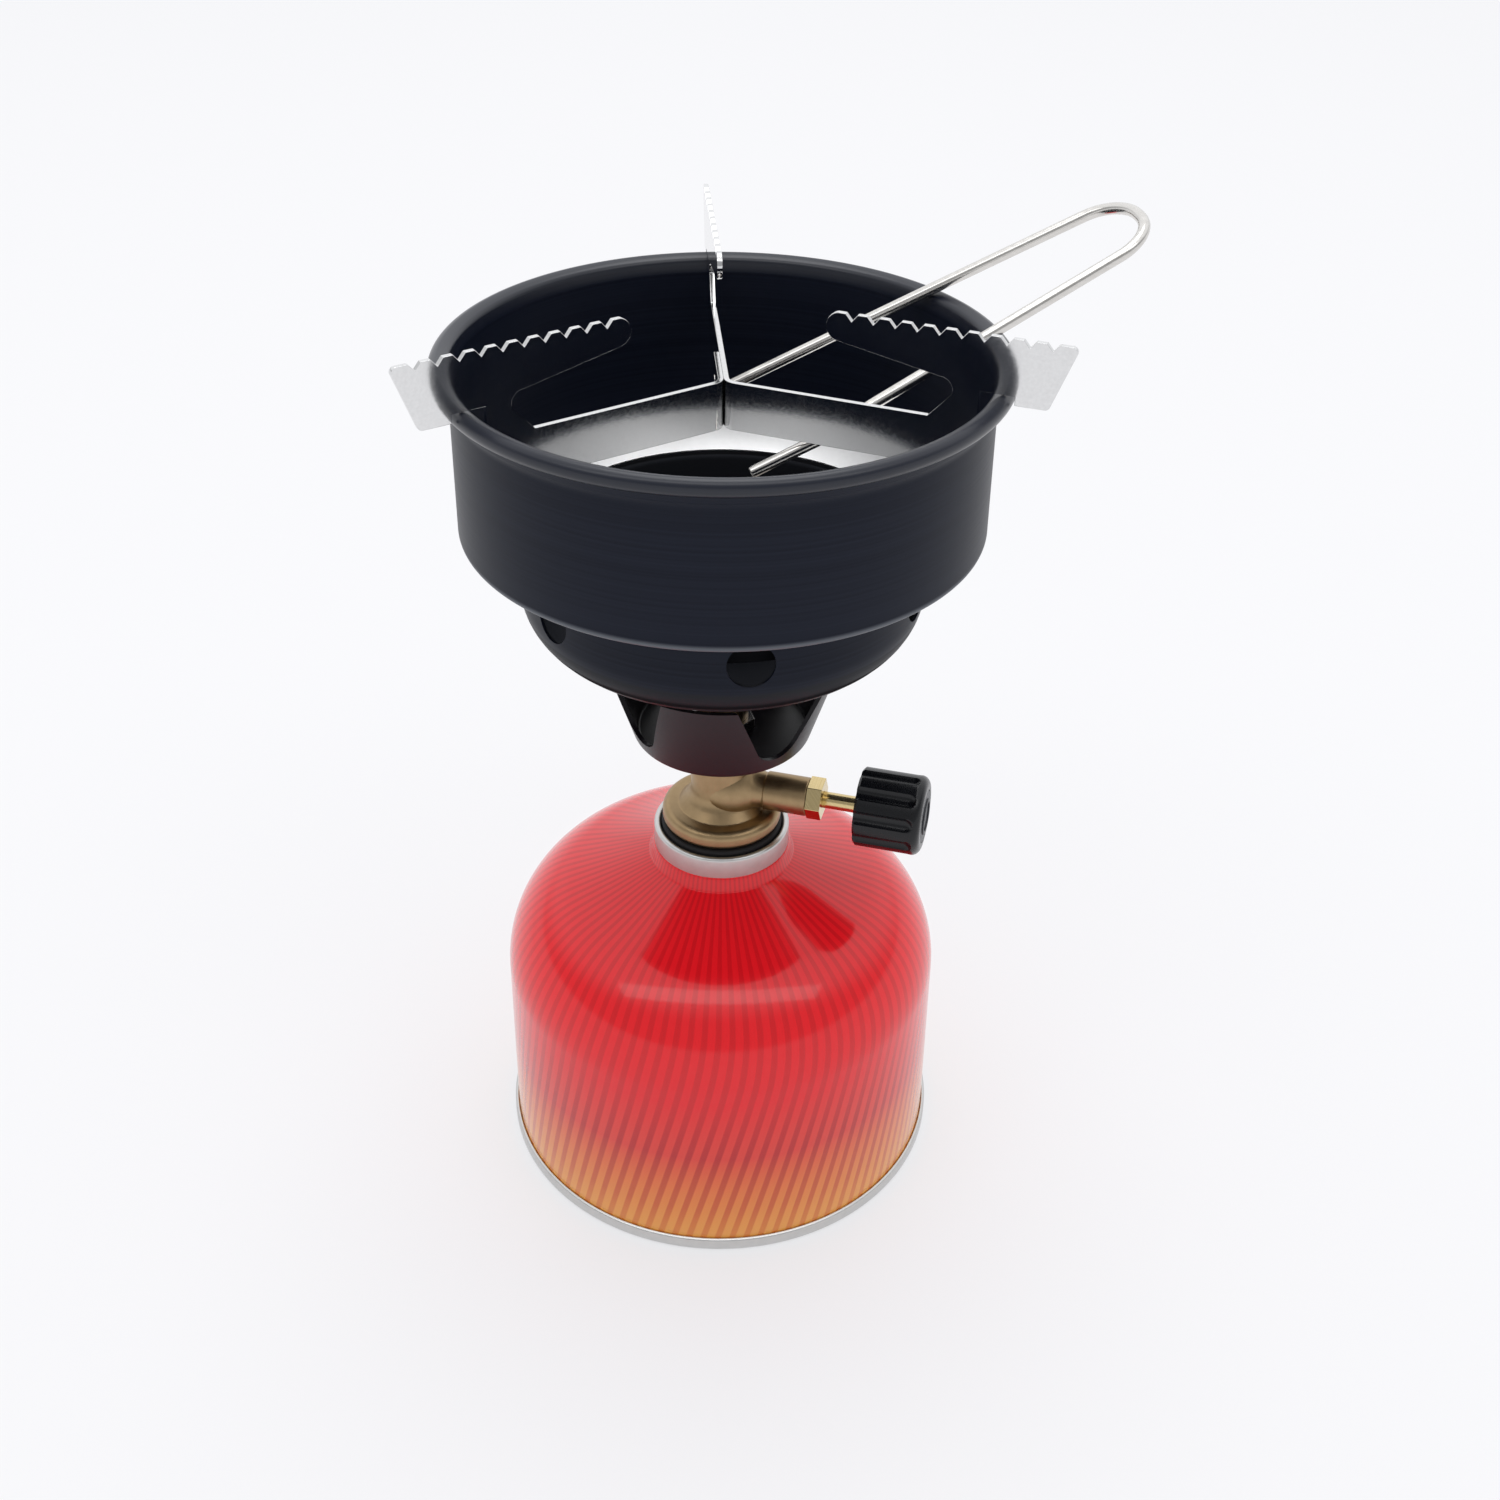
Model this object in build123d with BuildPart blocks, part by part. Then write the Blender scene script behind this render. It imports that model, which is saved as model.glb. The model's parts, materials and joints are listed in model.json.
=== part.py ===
from build123d import *
import os
from math import cos, radians, sin, sqrt, tan

# Camping stove on a screw-on gas cartridge. Millimetres, +Z up, origin at the centre of the
# cartridge's base on the ground, +X along the valve spindle towards the knob.

# Clearances
FIT = 0.05             # between pieces fixed to each other
RUN = 0.05             # round a shaft that turns or slides
REST = 0.2             # under a piece that only rests on another
WIRE_REST = 0.5        # between the loose wire and what it lies on

# Gas cartridge
CAN_RADIUS = 54.0
CAN_SHEET = 0.6
SEAM_STAND_OUT = 1.0
SEAM_HEIGHT = 3.6
BASE_RISE = 9.0
SHOULDER_HEIGHT = 50.0
SHOULDER_RADIUS = 26.0
DOME_SLOPE = 21.0
CAN_MOUTH_RADIUS = 14.2

# Mounting cup and its valve
COLLAR_RADIUS = 16.6
COLLAR_HEIGHT = 5.7
COLLAR_WIDTH = 1.7
CUP_GASKET_SHEET = 0.6
LEDGE_DROP = 1.7
WELL_RADIUS = 11.5
WELL_DEPTH = 6.1
CUP_SHEET = 0.6
POST_RADIUS = 5.5
POST_GAP = 0.6
POST_BORE_RADIUS = 1.8
POPPET_RADIUS = 1.2
POPPET_HEAD_RADIUS = 3.0
POPPET_HEAD_HEIGHT = 3.2
POPPET_TRAVEL = 1.2
STEM_GASKET_RADIUS = 4.8
STEM_GASKET_SHEET = 1.5
HOUSING_RADIUS = 5.8
HOUSING_BORE_RADIUS = 3.3
HOUSING_FLOOR = 1.2
SPRING_LENGTH = 6.7
SPRING_RADIUS = 2.6
SPRING_WIRE = 0.7
HOUSING_INLET_RADIUS = 1.0

# Brass valve body
SEAL_HEIGHT = 5.3
SEAL_GAP = 0.1
NOSE_RADIUS = 9.5
NOSE_LENGTH = 10.5
SOCKET_DEPTH = 6.8
BELL_RADIUS = 14.5
BELL_RIM = 1.6
BELL_HEIGHT = 7.6
BELL_BULGE = 0.9
BOSS_RADIUS = 7.5
BOSS_HEIGHT = 25.9
NECK_RADIUS = 5.0
NECK_LENGTH = 6.2
SPINDLE_RISE = 9.9
ARM_RADIUS = 4.4
ARM_END_RADIUS = 4.7
ARM_STEP = 11.2
ARM_LENGTH = 21.8
DUCT_RADIUS = 0.8
DUCT_OFFSET = 4.4
PIN_RADIUS = 1.05
PIN_SEAT = 2.0

# Spindle, gland and knob
SPINDLE_RADIUS = 2.0
NEEDLE_SEAT = 3.0
NEEDLE_LENGTH = 2.4
NEEDLE_TIP_RADIUS = 0.5
PACKING_RADIUS = 3.35
PACKING_LENGTH = 2.4
GLAND_SPIGOT = 3.0
GLAND_HEX = 9.0
GLAND_HEX_LENGTH = 3.6
KNOB_GAP = 8.85
KNOB_RADIUS = 9.6
KNOB_LENGTH = 16.0
KNOB_EDGE = 2.2
KNOB_FLUTES = 10
FLUTE_RADIUS = 2.0
FLUTE_DEPTH = 1.0
FLUTE_END = 3.4
KNOB_GRIP = 10.0
KNOB_CAP_RADIUS = 6.4
KNOB_CAP_SHEET = 1.0
KNOB_RING_RADIUS = 4.0
KNOB_RING_WIDTH = 0.8
KNOB_RING_HEIGHT = 0.4

# Jet, air shroud and mixing tube
JET_RADIUS = 2.45
JET_LENGTH = 5.5
JET_HEX = 6.0
JET_HEX_LENGTH = 1.6
JET_TIP_LENGTH = 1.4
JET_TIP_RADIUS = 1.2
JET_BORE_RADIUS = 0.9
JET_HOLE_RADIUS = 0.3
SHROUD_SHEET = 1.2
SHROUD_RADIUS = 20.9
SHROUD_CORNER = 0.8
SHROUD_HEIGHT = 22.4
SHROUD_FLARE = 0.323
ARCH_AZIMUTHS = (-40.5, 49.5, 139.5, 229.5)
ARCH_RISE = 3.3
ARCH_END_RADIUS = 4.4
ARCH_WIDTH = 25.4
SHROUD_NUT_HEX = 14.0
SHROUD_NUT_HEIGHT = 2.9
TUBE_RADIUS = 6.2
TUBE_BORE_RADIUS = 4.2
TUBE_FLANGE_RADIUS = 9.0
TUBE_FLANGE_HEIGHT = 2.4
TUBE_HOLE_RADIUS = 2.0
TUBE_HOLE_RISE = 8.0
TUBE_HOLES = 4

# Lower dish
DISH_RADIUS = 46.1
DISH_SHEET = 0.7
DISH_GAP = 6.9
DISH_CORNER = 13.1
FLANGE_WIDTH = 5.0
AIR_HOLES = 6
AIR_HOLE_AZIMUTH = -7.1
AIR_HOLE_RADIUS = 5.2
AIR_HOLE_RISE = 17.1
DISH_NUT_HEX = 16.0
DISH_NUT_HEIGHT = 2.5

# Windscreen bowl and reflector
BOWL_RADIUS = 58.8
BOWL_SHEET = 0.8
BOWL_CORNER_RISE = 28.5
BOWL_CORNER_RADIUS = 1.4
FLOOR_SLOPE = 22.0
THROAT_CLEARANCE = 2.4
THROAT_DROP = 6.0
THROAT_BEND = 0.8
LIP_STAND_OUT = 4.1
LIP_BEAD = 2.0
BOWL_DEPTH = 39.4
REFLECTOR_SHEET = 0.3
REFLECTOR_INSET = 0.6
REFLECTOR_MARGIN = 1.4

# Burner
BURNER_RADIUS = 18.5
BURNER_SHEET = 1.5
BURNER_HUB_RADIUS = 8.4
BURNER_HUB_LENGTH = 5.4
BURNER_WALL_HEIGHT = 12.0
BURNER_PORTS = 24
BURNER_PORT_RADIUS = 0.8
BURNER_PORT_DROP = 3.4
BRIDGE_WIDTH = 6.4
BRIDGE_HEIGHT = 3.4
STUD_RADIUS = 2.0
CAP_HEIGHT = 2.4
CAP_SPIGOT = 1.6
BURNER_NUT_HEX = 10.0
BURNER_NUT_HEIGHT = 11.4
BURNER_NUT_ROOF = 2.0

# Pot support
SUPPORT_SHEET = 1.2
RIGHT_AZIMUTH = -6.0
REAR_AZIMUTH = 109.5
LEFT_AZIMUTH = 227.5
SUPPORT_BEND = 3.0
WELD_TAB = 16.0
STRIP_DROP = 18.1
STRIP_WIDTH = 11.1
STRIP_CORNER = 4.0
CREST_RISE = 12.4
ARM_WALL_GAP = 1.8
LIP_GAP = 0.7
TAB_DROP = 2.0
TAB_WIDTH = 7.0
TAB_LEAN = 5.3
TAB_CORNER = 1.2
WEB_WIDTH = 5.8
WEB_LEAN = 4.8
SLOT_ROUND = 2.8
SLOT_DROP = 1.8
BLADE_OUTER_RISE = 1.9
BLADE_INNER_RISE = 6.2
BLADE_REACH = 31.0
BLADE_NOSE = 2.4
NOTCHES = 10
NOTCH_INSET = 3.1
NOTCH_END_INSET = 5.5
NOTCH_WIDTH = 2.6
NOTCH_DEPTH = 1.6

# Wire handle, lying on the lip
WIRE_RADIUS = 1.35
HANDLE_CONTACT_AZIMUTHS = (23.33, 49.97)
HANDLE_AZIMUTH = 26.03
HANDLE_RISE = 26.6
HANDLE_BANK = 4.40
LEG_TAPER = 0.0933
LOOP_REACH = 41.5
LOOP_CORNER = 10.4
LEG_END_REACH = -58.0
FOOT_START_REACH = -30.0
FOOT_KNEE_REACH = -44.0
FOOT_KNEE_SPREAD = 1.0
FOOT_END_REACH = -60.5
FOOT_END_SPREAD = -1.6
FOOT_BEND_RADIUS = 9.0


def polar(radius, azimuth, height=0.0):
    """A point at a distance from the stove's axis, at an azimuth in degrees."""
    return Vector(radius * cos(radians(azimuth)), radius * sin(radians(azimuth)), height)


def upright_plane(azimuth, shift=0.0):
    """The vertical plane through the axis at an azimuth: local x runs outwards, local y up."""
    side = polar(1.0, azimuth - 90)
    return Plane(origin=side * shift, x_dir=polar(1.0, azimuth), z_dir=side)


def facing_plane(azimuth):
    """The vertical plane that faces an azimuth: local x runs across, local y up."""
    return Plane(origin=(0, 0, 0), x_dir=polar(1.0, azimuth + 90), z_dir=polar(1.0, azimuth))


def spindle_plane(x):
    """The plane square to the spindle at a distance from the stove's axis."""
    return Plane(origin=(x, 0, SPINDLE_Z), x_dir=(0, 1, 0), z_dir=(1, 0, 0))


def cap_middle(radius, edge, rise):
    """The half-way point of a shallow dome's arc from its edge to the axis."""
    sphere = (radius ** 2 + rise ** 2) / (2 * rise)
    return (radius / 2, edge + rise - sphere + sqrt(sphere ** 2 - radius ** 2 / 4))


# Heights up the cartridge
SHOULDER_TURN = 90 - DOME_SLOPE
SHOULDER_CENTRE = (CAN_RADIUS - SHOULDER_RADIUS, SHOULDER_HEIGHT)


def dome_height(radius, inset=0.0):
    """Height of the can's cone at a radius, on its outside or a sheet thickness inside it."""
    bend = SHOULDER_RADIUS - inset
    end_radius = SHOULDER_CENTRE[0] + bend * cos(radians(SHOULDER_TURN))
    end_height = SHOULDER_CENTRE[1] + bend * sin(radians(SHOULDER_TURN))
    return end_height + (end_radius - radius) * tan(radians(DOME_SLOPE))


GASKET_RISE = CUP_GASKET_SHEET + 2 * FIT
COLLAR_TOP = dome_height(COLLAR_RADIUS) + COLLAR_HEIGHT
LEDGE_Z = COLLAR_TOP - LEDGE_DROP
WELL_Z = LEDGE_Z - WELL_DEPTH
CUP_UNDERSIDE = WELL_Z - CUP_SHEET
SEAL_RADIUS = COLLAR_RADIUS - COLLAR_WIDTH - SEAL_GAP
BELL_Z = LEDGE_Z + SEAL_HEIGHT + 2 * FIT
NOSE_Z = BELL_Z - NOSE_LENGTH
SOCKET_TOP = NOSE_Z + SOCKET_DEPTH
POST_TOP = SOCKET_TOP - POST_GAP
BOSS_TOP = BELL_Z + BOSS_HEIGHT
NECK_TOP = BOSS_TOP + NECK_LENGTH
SPINDLE_Z = BELL_Z + SPINDLE_RISE

# Heights up the burner
SHROUD_Z = BOSS_TOP + FIT
SHROUD_TOP = SHROUD_Z + SHROUD_HEIGHT
SHROUD_NUT_Z = SHROUD_Z + SHROUD_SHEET + FIT
TUBE_Z = SHROUD_NUT_Z + SHROUD_NUT_HEIGHT + FIT
DISH_BOTTOM = SHROUD_TOP + DISH_GAP
DISH_NUT_Z = DISH_BOTTOM + DISH_SHEET + FIT
BURNER_Z = DISH_NUT_Z + DISH_NUT_HEIGHT + FIT
BURNER_FLOOR = BURNER_Z + BURNER_HUB_LENGTH
TUBE_TOP = BURNER_FLOOR - FIT
BURNER_TOP = BURNER_FLOOR + BURNER_WALL_HEIGHT
BRIDGE_TOP = BURNER_FLOOR + BURNER_SHEET + BRIDGE_HEIGHT
CAP_Z = BURNER_TOP + FIT
BURNER_NUT_Z = CAP_Z + CAP_HEIGHT + FIT
STUD_TOP = BURNER_NUT_Z + BURNER_NUT_HEIGHT - BURNER_NUT_ROOF - FIT

# The bowl's sloping floor
SLOPE = tan(radians(FLOOR_SLOPE))
BOWL_CORNER_HEIGHT = DISH_BOTTOM + BOWL_CORNER_RISE
AIR_HOLE_HEIGHT = DISH_BOTTOM + AIR_HOLE_RISE
LIP_TOP = BOWL_CORNER_HEIGHT + BOWL_DEPTH
LIP_RADIUS = BOWL_RADIUS + LIP_STAND_OUT
BOWL_RISE = BOWL_SHEET / cos(radians(FLOOR_SLOPE))
DISH_RISE = DISH_SHEET / cos(radians(FLOOR_SLOPE))
REFLECTOR_RISE = REFLECTOR_SHEET / cos(radians(FLOOR_SLOPE))
LIP_CREST_RADIUS = LIP_RADIUS - LIP_BEAD
LIP_CENTRE_Z = LIP_TOP - LIP_BEAD
BOWL_INNER = BOWL_RADIUS - BOWL_SHEET
DISH_INNER = DISH_RADIUS - DISH_SHEET
THROAT_RADIUS = DISH_INNER - THROAT_CLEARANCE - BOWL_SHEET


def floor_height(radius):
    """Height of the underside of the bowl's floor at a radius."""
    return BOWL_CORNER_HEIGHT - (BOWL_RADIUS - radius) * SLOPE


def flange_height(radius):
    """Height of the underside of the dish's flange, which lies under the bowl's floor."""
    return floor_height(radius) - FIT - DISH_RISE


def reflector_height(radius):
    """Height of the underside of the reflector, which lies on the bowl's floor."""
    return floor_height(radius) + BOWL_RISE + FIT


os.makedirs("parts", exist_ok=True)

# Cartridge shell: straight wall, round shoulder and cone, open at both ends
with BuildPart() as cartridge_shell:
    with BuildSketch(Plane.XZ):
        with BuildLine():
            wall = CAN_RADIUS - CAN_SHEET
            foot = CAN_SHEET + 2 * FIT
            Line((wall, foot), (CAN_RADIUS, foot))
            Line((CAN_RADIUS, foot), (CAN_RADIUS, SHOULDER_HEIGHT))
            outer = CenterArc(SHOULDER_CENTRE, SHOULDER_RADIUS, 0, SHOULDER_TURN)
            mouth_out = (CAN_MOUTH_RADIUS, dome_height(CAN_MOUTH_RADIUS))
            mouth_in = (CAN_MOUTH_RADIUS, dome_height(CAN_MOUTH_RADIUS, CAN_SHEET))
            inner = CenterArc(SHOULDER_CENTRE, SHOULDER_RADIUS - CAN_SHEET, 0, SHOULDER_TURN)
            Line(outer @ 1, mouth_out)
            Line(mouth_out, mouth_in)
            Line(mouth_in, inner @ 1)
            Line((wall, SHOULDER_HEIGHT), (wall, foot))
        make_face()
    revolve(axis=Axis.Z)
cartridge_shell.part.label = "cartridge_shell"
export_step(cartridge_shell.part, "parts/cartridge_shell.step")

# Cartridge base: concave panel with a channel-shaped seam that holds the foot of the wall
with BuildPart() as cartridge_base:
    with BuildSketch(Plane.XZ):
        with BuildLine():
            seam = CAN_RADIUS + SEAM_STAND_OUT
            channel_out = CAN_RADIUS + FIT
            channel_in = CAN_RADIUS - CAN_SHEET - FIT
            panel = channel_in - CAN_SHEET
            low = SEAM_HEIGHT
            high = SEAM_HEIGHT + CAN_SHEET
            Polyline(
                (panel, low), (panel, 0), (seam, 0), (seam, SEAM_HEIGHT), (channel_out, SEAM_HEIGHT),
                (channel_out, CAN_SHEET), (channel_in, CAN_SHEET), (channel_in, high),
            )
            ThreePointArc((channel_in, high), cap_middle(channel_in, high, BASE_RISE), (0, high + BASE_RISE))
            Line((0, high + BASE_RISE), (0, low + BASE_RISE))
            ThreePointArc((0, low + BASE_RISE), cap_middle(panel, low, BASE_RISE), (panel, low))
        make_face()
        fillet([v for v in vertices() if v.X > seam - FIT], radius=SEAM_STAND_OUT * 0.4)
    revolve(axis=Axis.Z)
cartridge_base.part.label = "cartridge_base"
export_step(cartridge_base.part, "parts/cartridge_base.step")

# Mounting cup: crimped collar, ledge for the seal, well and threaded post
with BuildPart() as mounting_cup:
    with BuildSketch(Plane.XZ):
        with BuildLine():
            bead = COLLAR_WIDTH / 2
            collar_in = COLLAR_RADIUS - COLLAR_WIDTH
            well_out = WELL_RADIUS + CUP_SHEET
            under_collar = (COLLAR_RADIUS, dome_height(COLLAR_RADIUS) + GASKET_RISE)
            under_ledge = (well_out, dome_height(well_out) + GASKET_RISE)
            Line(under_collar, (COLLAR_RADIUS, COLLAR_TOP - bead))
            ThreePointArc(
                (COLLAR_RADIUS, COLLAR_TOP - bead),
                (COLLAR_RADIUS - bead, COLLAR_TOP),
                (collar_in, COLLAR_TOP - bead),
            )
            Polyline(
                (collar_in, COLLAR_TOP - bead), (collar_in, LEDGE_Z), (WELL_RADIUS, LEDGE_Z),
                (WELL_RADIUS, WELL_Z), (POST_RADIUS, WELL_Z), (POST_RADIUS, POST_TOP),
                (POST_BORE_RADIUS, POST_TOP), (POST_BORE_RADIUS, CUP_UNDERSIDE),
                (well_out, CUP_UNDERSIDE), under_ledge, under_collar,
            )
        make_face()
    revolve(axis=Axis.Z)
mounting_cup.part.label = "mounting_cup"
export_step(mounting_cup.part, "parts/mounting_cup.step")

# Gasket between the cup's collar and the can's cone
with BuildPart() as cup_gasket:
    with BuildSketch(Plane.XZ):
        with BuildLine():
            gasket_in = CAN_MOUTH_RADIUS + CUP_SHEET / 2
            gasket_out = COLLAR_RADIUS - CUP_SHEET / 2
            Polyline(
                (gasket_in, dome_height(gasket_in) + FIT),
                (gasket_out, dome_height(gasket_out) + FIT),
                (gasket_out, dome_height(gasket_out) + FIT + CUP_GASKET_SHEET),
                (gasket_in, dome_height(gasket_in) + FIT + CUP_GASKET_SHEET),
                close=True,
            )
        make_face()
    revolve(axis=Axis.Z)
cup_gasket.part.label = "cup_gasket"
export_step(cup_gasket.part, "parts/cup_gasket.step")

# Cartridge valve: gasket, housing, spring and poppet, under the cup
STEM_GASKET_Z = CUP_UNDERSIDE - FIT - STEM_GASKET_SHEET
POPPET_TOP = POST_TOP - POPPET_TRAVEL - POST_BORE_RADIUS
HEAD_TOP = STEM_GASKET_Z - POPPET_TRAVEL - FIT
HEAD_Z = HEAD_TOP - POPPET_HEAD_HEIGHT
SPRING_Z = HEAD_Z - FIT - SPRING_LENGTH
HOUSING_Z = SPRING_Z - FIT - HOUSING_FLOOR

with BuildPart() as stem_gasket:
    with BuildSketch(Plane.XY.offset(STEM_GASKET_Z)):
        Circle(STEM_GASKET_RADIUS)
        Circle(POPPET_RADIUS + RUN, mode=Mode.SUBTRACT)
    extrude(amount=STEM_GASKET_SHEET)
stem_gasket.part.label = "stem_gasket"
export_step(stem_gasket.part, "parts/stem_gasket.step")

with BuildPart() as valve_housing:
    with BuildSketch(Plane.XY.offset(HOUSING_Z)):
        Circle(HOUSING_RADIUS)
        Circle(HOUSING_INLET_RADIUS, mode=Mode.SUBTRACT)
    extrude(amount=CUP_UNDERSIDE - FIT - HOUSING_Z)
    with BuildSketch(Plane.XY.offset(HOUSING_Z + HOUSING_FLOOR)):
        Circle(HOUSING_BORE_RADIUS)
    extrude(amount=STEM_GASKET_Z - HOUSING_Z - HOUSING_FLOOR, mode=Mode.SUBTRACT)
    with BuildSketch(Plane.XY.offset(STEM_GASKET_Z - FIT)):
        Circle(STEM_GASKET_RADIUS + FIT)
    extrude(amount=STEM_GASKET_SHEET + 2 * FIT, mode=Mode.SUBTRACT)
valve_housing.part.label = "valve_housing"
export_step(valve_housing.part, "parts/valve_housing.step")

with BuildPart() as valve_spring:
    with BuildSketch(Plane.XY.offset(SPRING_Z)):
        Circle(SPRING_RADIUS)
        Circle(SPRING_RADIUS - SPRING_WIRE, mode=Mode.SUBTRACT)
    extrude(amount=SPRING_LENGTH)
valve_spring.part.label = "valve_spring"
export_step(valve_spring.part, "parts/valve_spring.step")

with BuildPart() as valve_poppet:
    with BuildSketch(Plane.XY.offset(HEAD_Z)):
        Circle(POPPET_HEAD_RADIUS)
    extrude(amount=POPPET_HEAD_HEIGHT)
    with BuildSketch(Plane.XY.offset(HEAD_TOP)):
        Circle(POPPET_RADIUS)
    extrude(amount=POPPET_TOP - HEAD_TOP)
valve_poppet.part.label = "valve_poppet"
export_step(valve_poppet.part, "parts/valve_poppet.step")

# Rubber ring between the cup's ledge and the brass bell
with BuildPart() as collar_seal:
    with BuildSketch(Plane.XY.offset(LEDGE_Z + FIT)):
        Circle(SEAL_RADIUS)
        Circle(NOSE_RADIUS + RUN, mode=Mode.SUBTRACT)
    extrude(amount=SEAL_HEIGHT)
    rims = collar_seal.edges().filter_by(GeomType.CIRCLE)
    fillet(rims.group_by(SortBy.RADIUS)[-1], radius=SEAL_HEIGHT / 4)
collar_seal.part.label = "collar_seal"
export_step(collar_seal.part, "parts/collar_seal.step")

# Brass valve body: nose in the cup, bell, boss, neck and side arm, with its gas passages
with BuildPart() as valve_body:
    with BuildSketch(Plane.XZ):
        with BuildLine():
            rim_top = BELL_Z + BELL_RIM
            bell_top = BELL_Z + BELL_HEIGHT
            half_out = (BELL_RADIUS + BOSS_RADIUS) / 2
            half_up = (rim_top + bell_top) / 2
            bell_middle = (half_out + BELL_BULGE, half_up + BELL_BULGE)
            Polyline(
                (0, NOSE_Z), (NOSE_RADIUS, NOSE_Z), (NOSE_RADIUS, BELL_Z), (BELL_RADIUS, BELL_Z),
                (BELL_RADIUS, rim_top),
            )
            ThreePointArc((BELL_RADIUS, rim_top), bell_middle, (BOSS_RADIUS, bell_top))
            Polyline(
                (BOSS_RADIUS, bell_top), (BOSS_RADIUS, BOSS_TOP), (NECK_RADIUS, BOSS_TOP),
                (NECK_RADIUS, NECK_TOP), (0, NECK_TOP), (0, NOSE_Z),
            )
        make_face()
    revolve(axis=Axis.Z)
    with BuildSketch(spindle_plane(0)):
        Circle(ARM_RADIUS)
    extrude(amount=ARM_STEP)
    with BuildSketch(spindle_plane(ARM_STEP)):
        Circle(ARM_END_RADIUS)
    extrude(amount=ARM_LENGTH - ARM_STEP)
    # Socket for the cartridge's post, and the seat of the opener pin
    with BuildSketch(Plane.XY.offset(NOSE_Z)):
        Circle(POST_RADIUS + RUN)
    extrude(amount=SOCKET_DEPTH, mode=Mode.SUBTRACT)
    with BuildSketch(Plane.XY.offset(SOCKET_TOP)):
        Circle(PIN_RADIUS + FIT)
    extrude(amount=PIN_SEAT, mode=Mode.SUBTRACT)
    # Duct up to the spindle, spindle bore, packing bore, seat and duct up to the jet
    with BuildSketch(Plane.XY.offset(SOCKET_TOP)):
        with Locations((DUCT_OFFSET, 0)):
            Circle(DUCT_RADIUS)
    extrude(amount=SPINDLE_Z - SOCKET_TOP, mode=Mode.SUBTRACT)
    with BuildSketch(spindle_plane(NEEDLE_SEAT)):
        Circle(SPINDLE_RADIUS + RUN)
    extrude(amount=ARM_LENGTH - NEEDLE_SEAT, mode=Mode.SUBTRACT)
    with BuildSketch(spindle_plane(ARM_LENGTH)):
        Circle(PACKING_RADIUS + FIT)
    extrude(amount=-(PACKING_LENGTH + GLAND_SPIGOT + 2 * FIT), mode=Mode.SUBTRACT)
    with BuildSketch(spindle_plane(0)):
        Circle(DUCT_RADIUS)
    extrude(amount=NEEDLE_SEAT, mode=Mode.SUBTRACT)
    with BuildSketch(Plane.XY.offset(SPINDLE_Z)):
        Circle(DUCT_RADIUS)
    extrude(amount=NECK_TOP - SPINDLE_Z, mode=Mode.SUBTRACT)
    with BuildSketch(Plane.XY.offset(NECK_TOP - JET_LENGTH - FIT)):
        Circle(JET_RADIUS + FIT)
    extrude(amount=JET_LENGTH + FIT, mode=Mode.SUBTRACT)
valve_body.part.label = "valve_body"
export_step(valve_body.part, "parts/valve_body.step")

# Pin that pushes the cartridge's poppet down
with BuildPart() as opener_pin:
    with BuildSketch(Plane.XY.offset(POPPET_TOP + FIT)):
        Circle(PIN_RADIUS)
    extrude(amount=SOCKET_TOP + PIN_SEAT - FIT - POPPET_TOP - FIT)
opener_pin.part.label = "opener_pin"
export_step(opener_pin.part, "parts/opener_pin.step")

# Packing ring and hex gland nut at the end of the side arm
PACKING_X = ARM_LENGTH - GLAND_SPIGOT - FIT - PACKING_LENGTH

with BuildPart() as gland_packing:
    with BuildSketch(spindle_plane(PACKING_X)):
        Circle(PACKING_RADIUS)
        Circle(SPINDLE_RADIUS + RUN, mode=Mode.SUBTRACT)
    extrude(amount=PACKING_LENGTH)
gland_packing.part.label = "gland_packing"
export_step(gland_packing.part, "parts/gland_packing.step")

GLAND_END = ARM_LENGTH + FIT + GLAND_HEX_LENGTH

with BuildPart() as gland_nut:
    with BuildSketch(spindle_plane(ARM_LENGTH + FIT)):
        RegularPolygon(GLAND_HEX / 2, 6, major_radius=False)
    extrude(amount=GLAND_HEX_LENGTH)
    with BuildSketch(spindle_plane(ARM_LENGTH + FIT)):
        Circle(PACKING_RADIUS)
    extrude(amount=-GLAND_SPIGOT)
    with BuildSketch(spindle_plane(GLAND_END)):
        Circle(SPINDLE_RADIUS + RUN)
    extrude(amount=-(GLAND_HEX_LENGTH + GLAND_SPIGOT), mode=Mode.SUBTRACT)
gland_nut.part.label = "gland_nut"
export_step(gland_nut.part, "parts/gland_nut.step")

# Needle spindle, closed on its seat
KNOB_X = GLAND_END + KNOB_GAP
NEEDLE_X = NEEDLE_SEAT + FIT

with BuildPart() as spindle:
    with BuildSketch(Plane.XZ):
        with BuildLine():
            shank = NEEDLE_X + NEEDLE_LENGTH
            grip_end = KNOB_X + KNOB_GRIP
            Polyline(
                (NEEDLE_X, SPINDLE_Z), (NEEDLE_X, SPINDLE_Z + NEEDLE_TIP_RADIUS),
                (shank, SPINDLE_Z + SPINDLE_RADIUS), (grip_end, SPINDLE_Z + SPINDLE_RADIUS),
                (grip_end, SPINDLE_Z), close=True,
            )
        make_face()
    revolve(axis=Axis((0, 0, SPINDLE_Z), (1, 0, 0)))
spindle.part.label = "spindle"
export_step(spindle.part, "parts/spindle.step")

# Fluted knob with a round edge, a bore for the spindle and a recess for its end disc
KNOB_END = KNOB_X + KNOB_LENGTH

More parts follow.
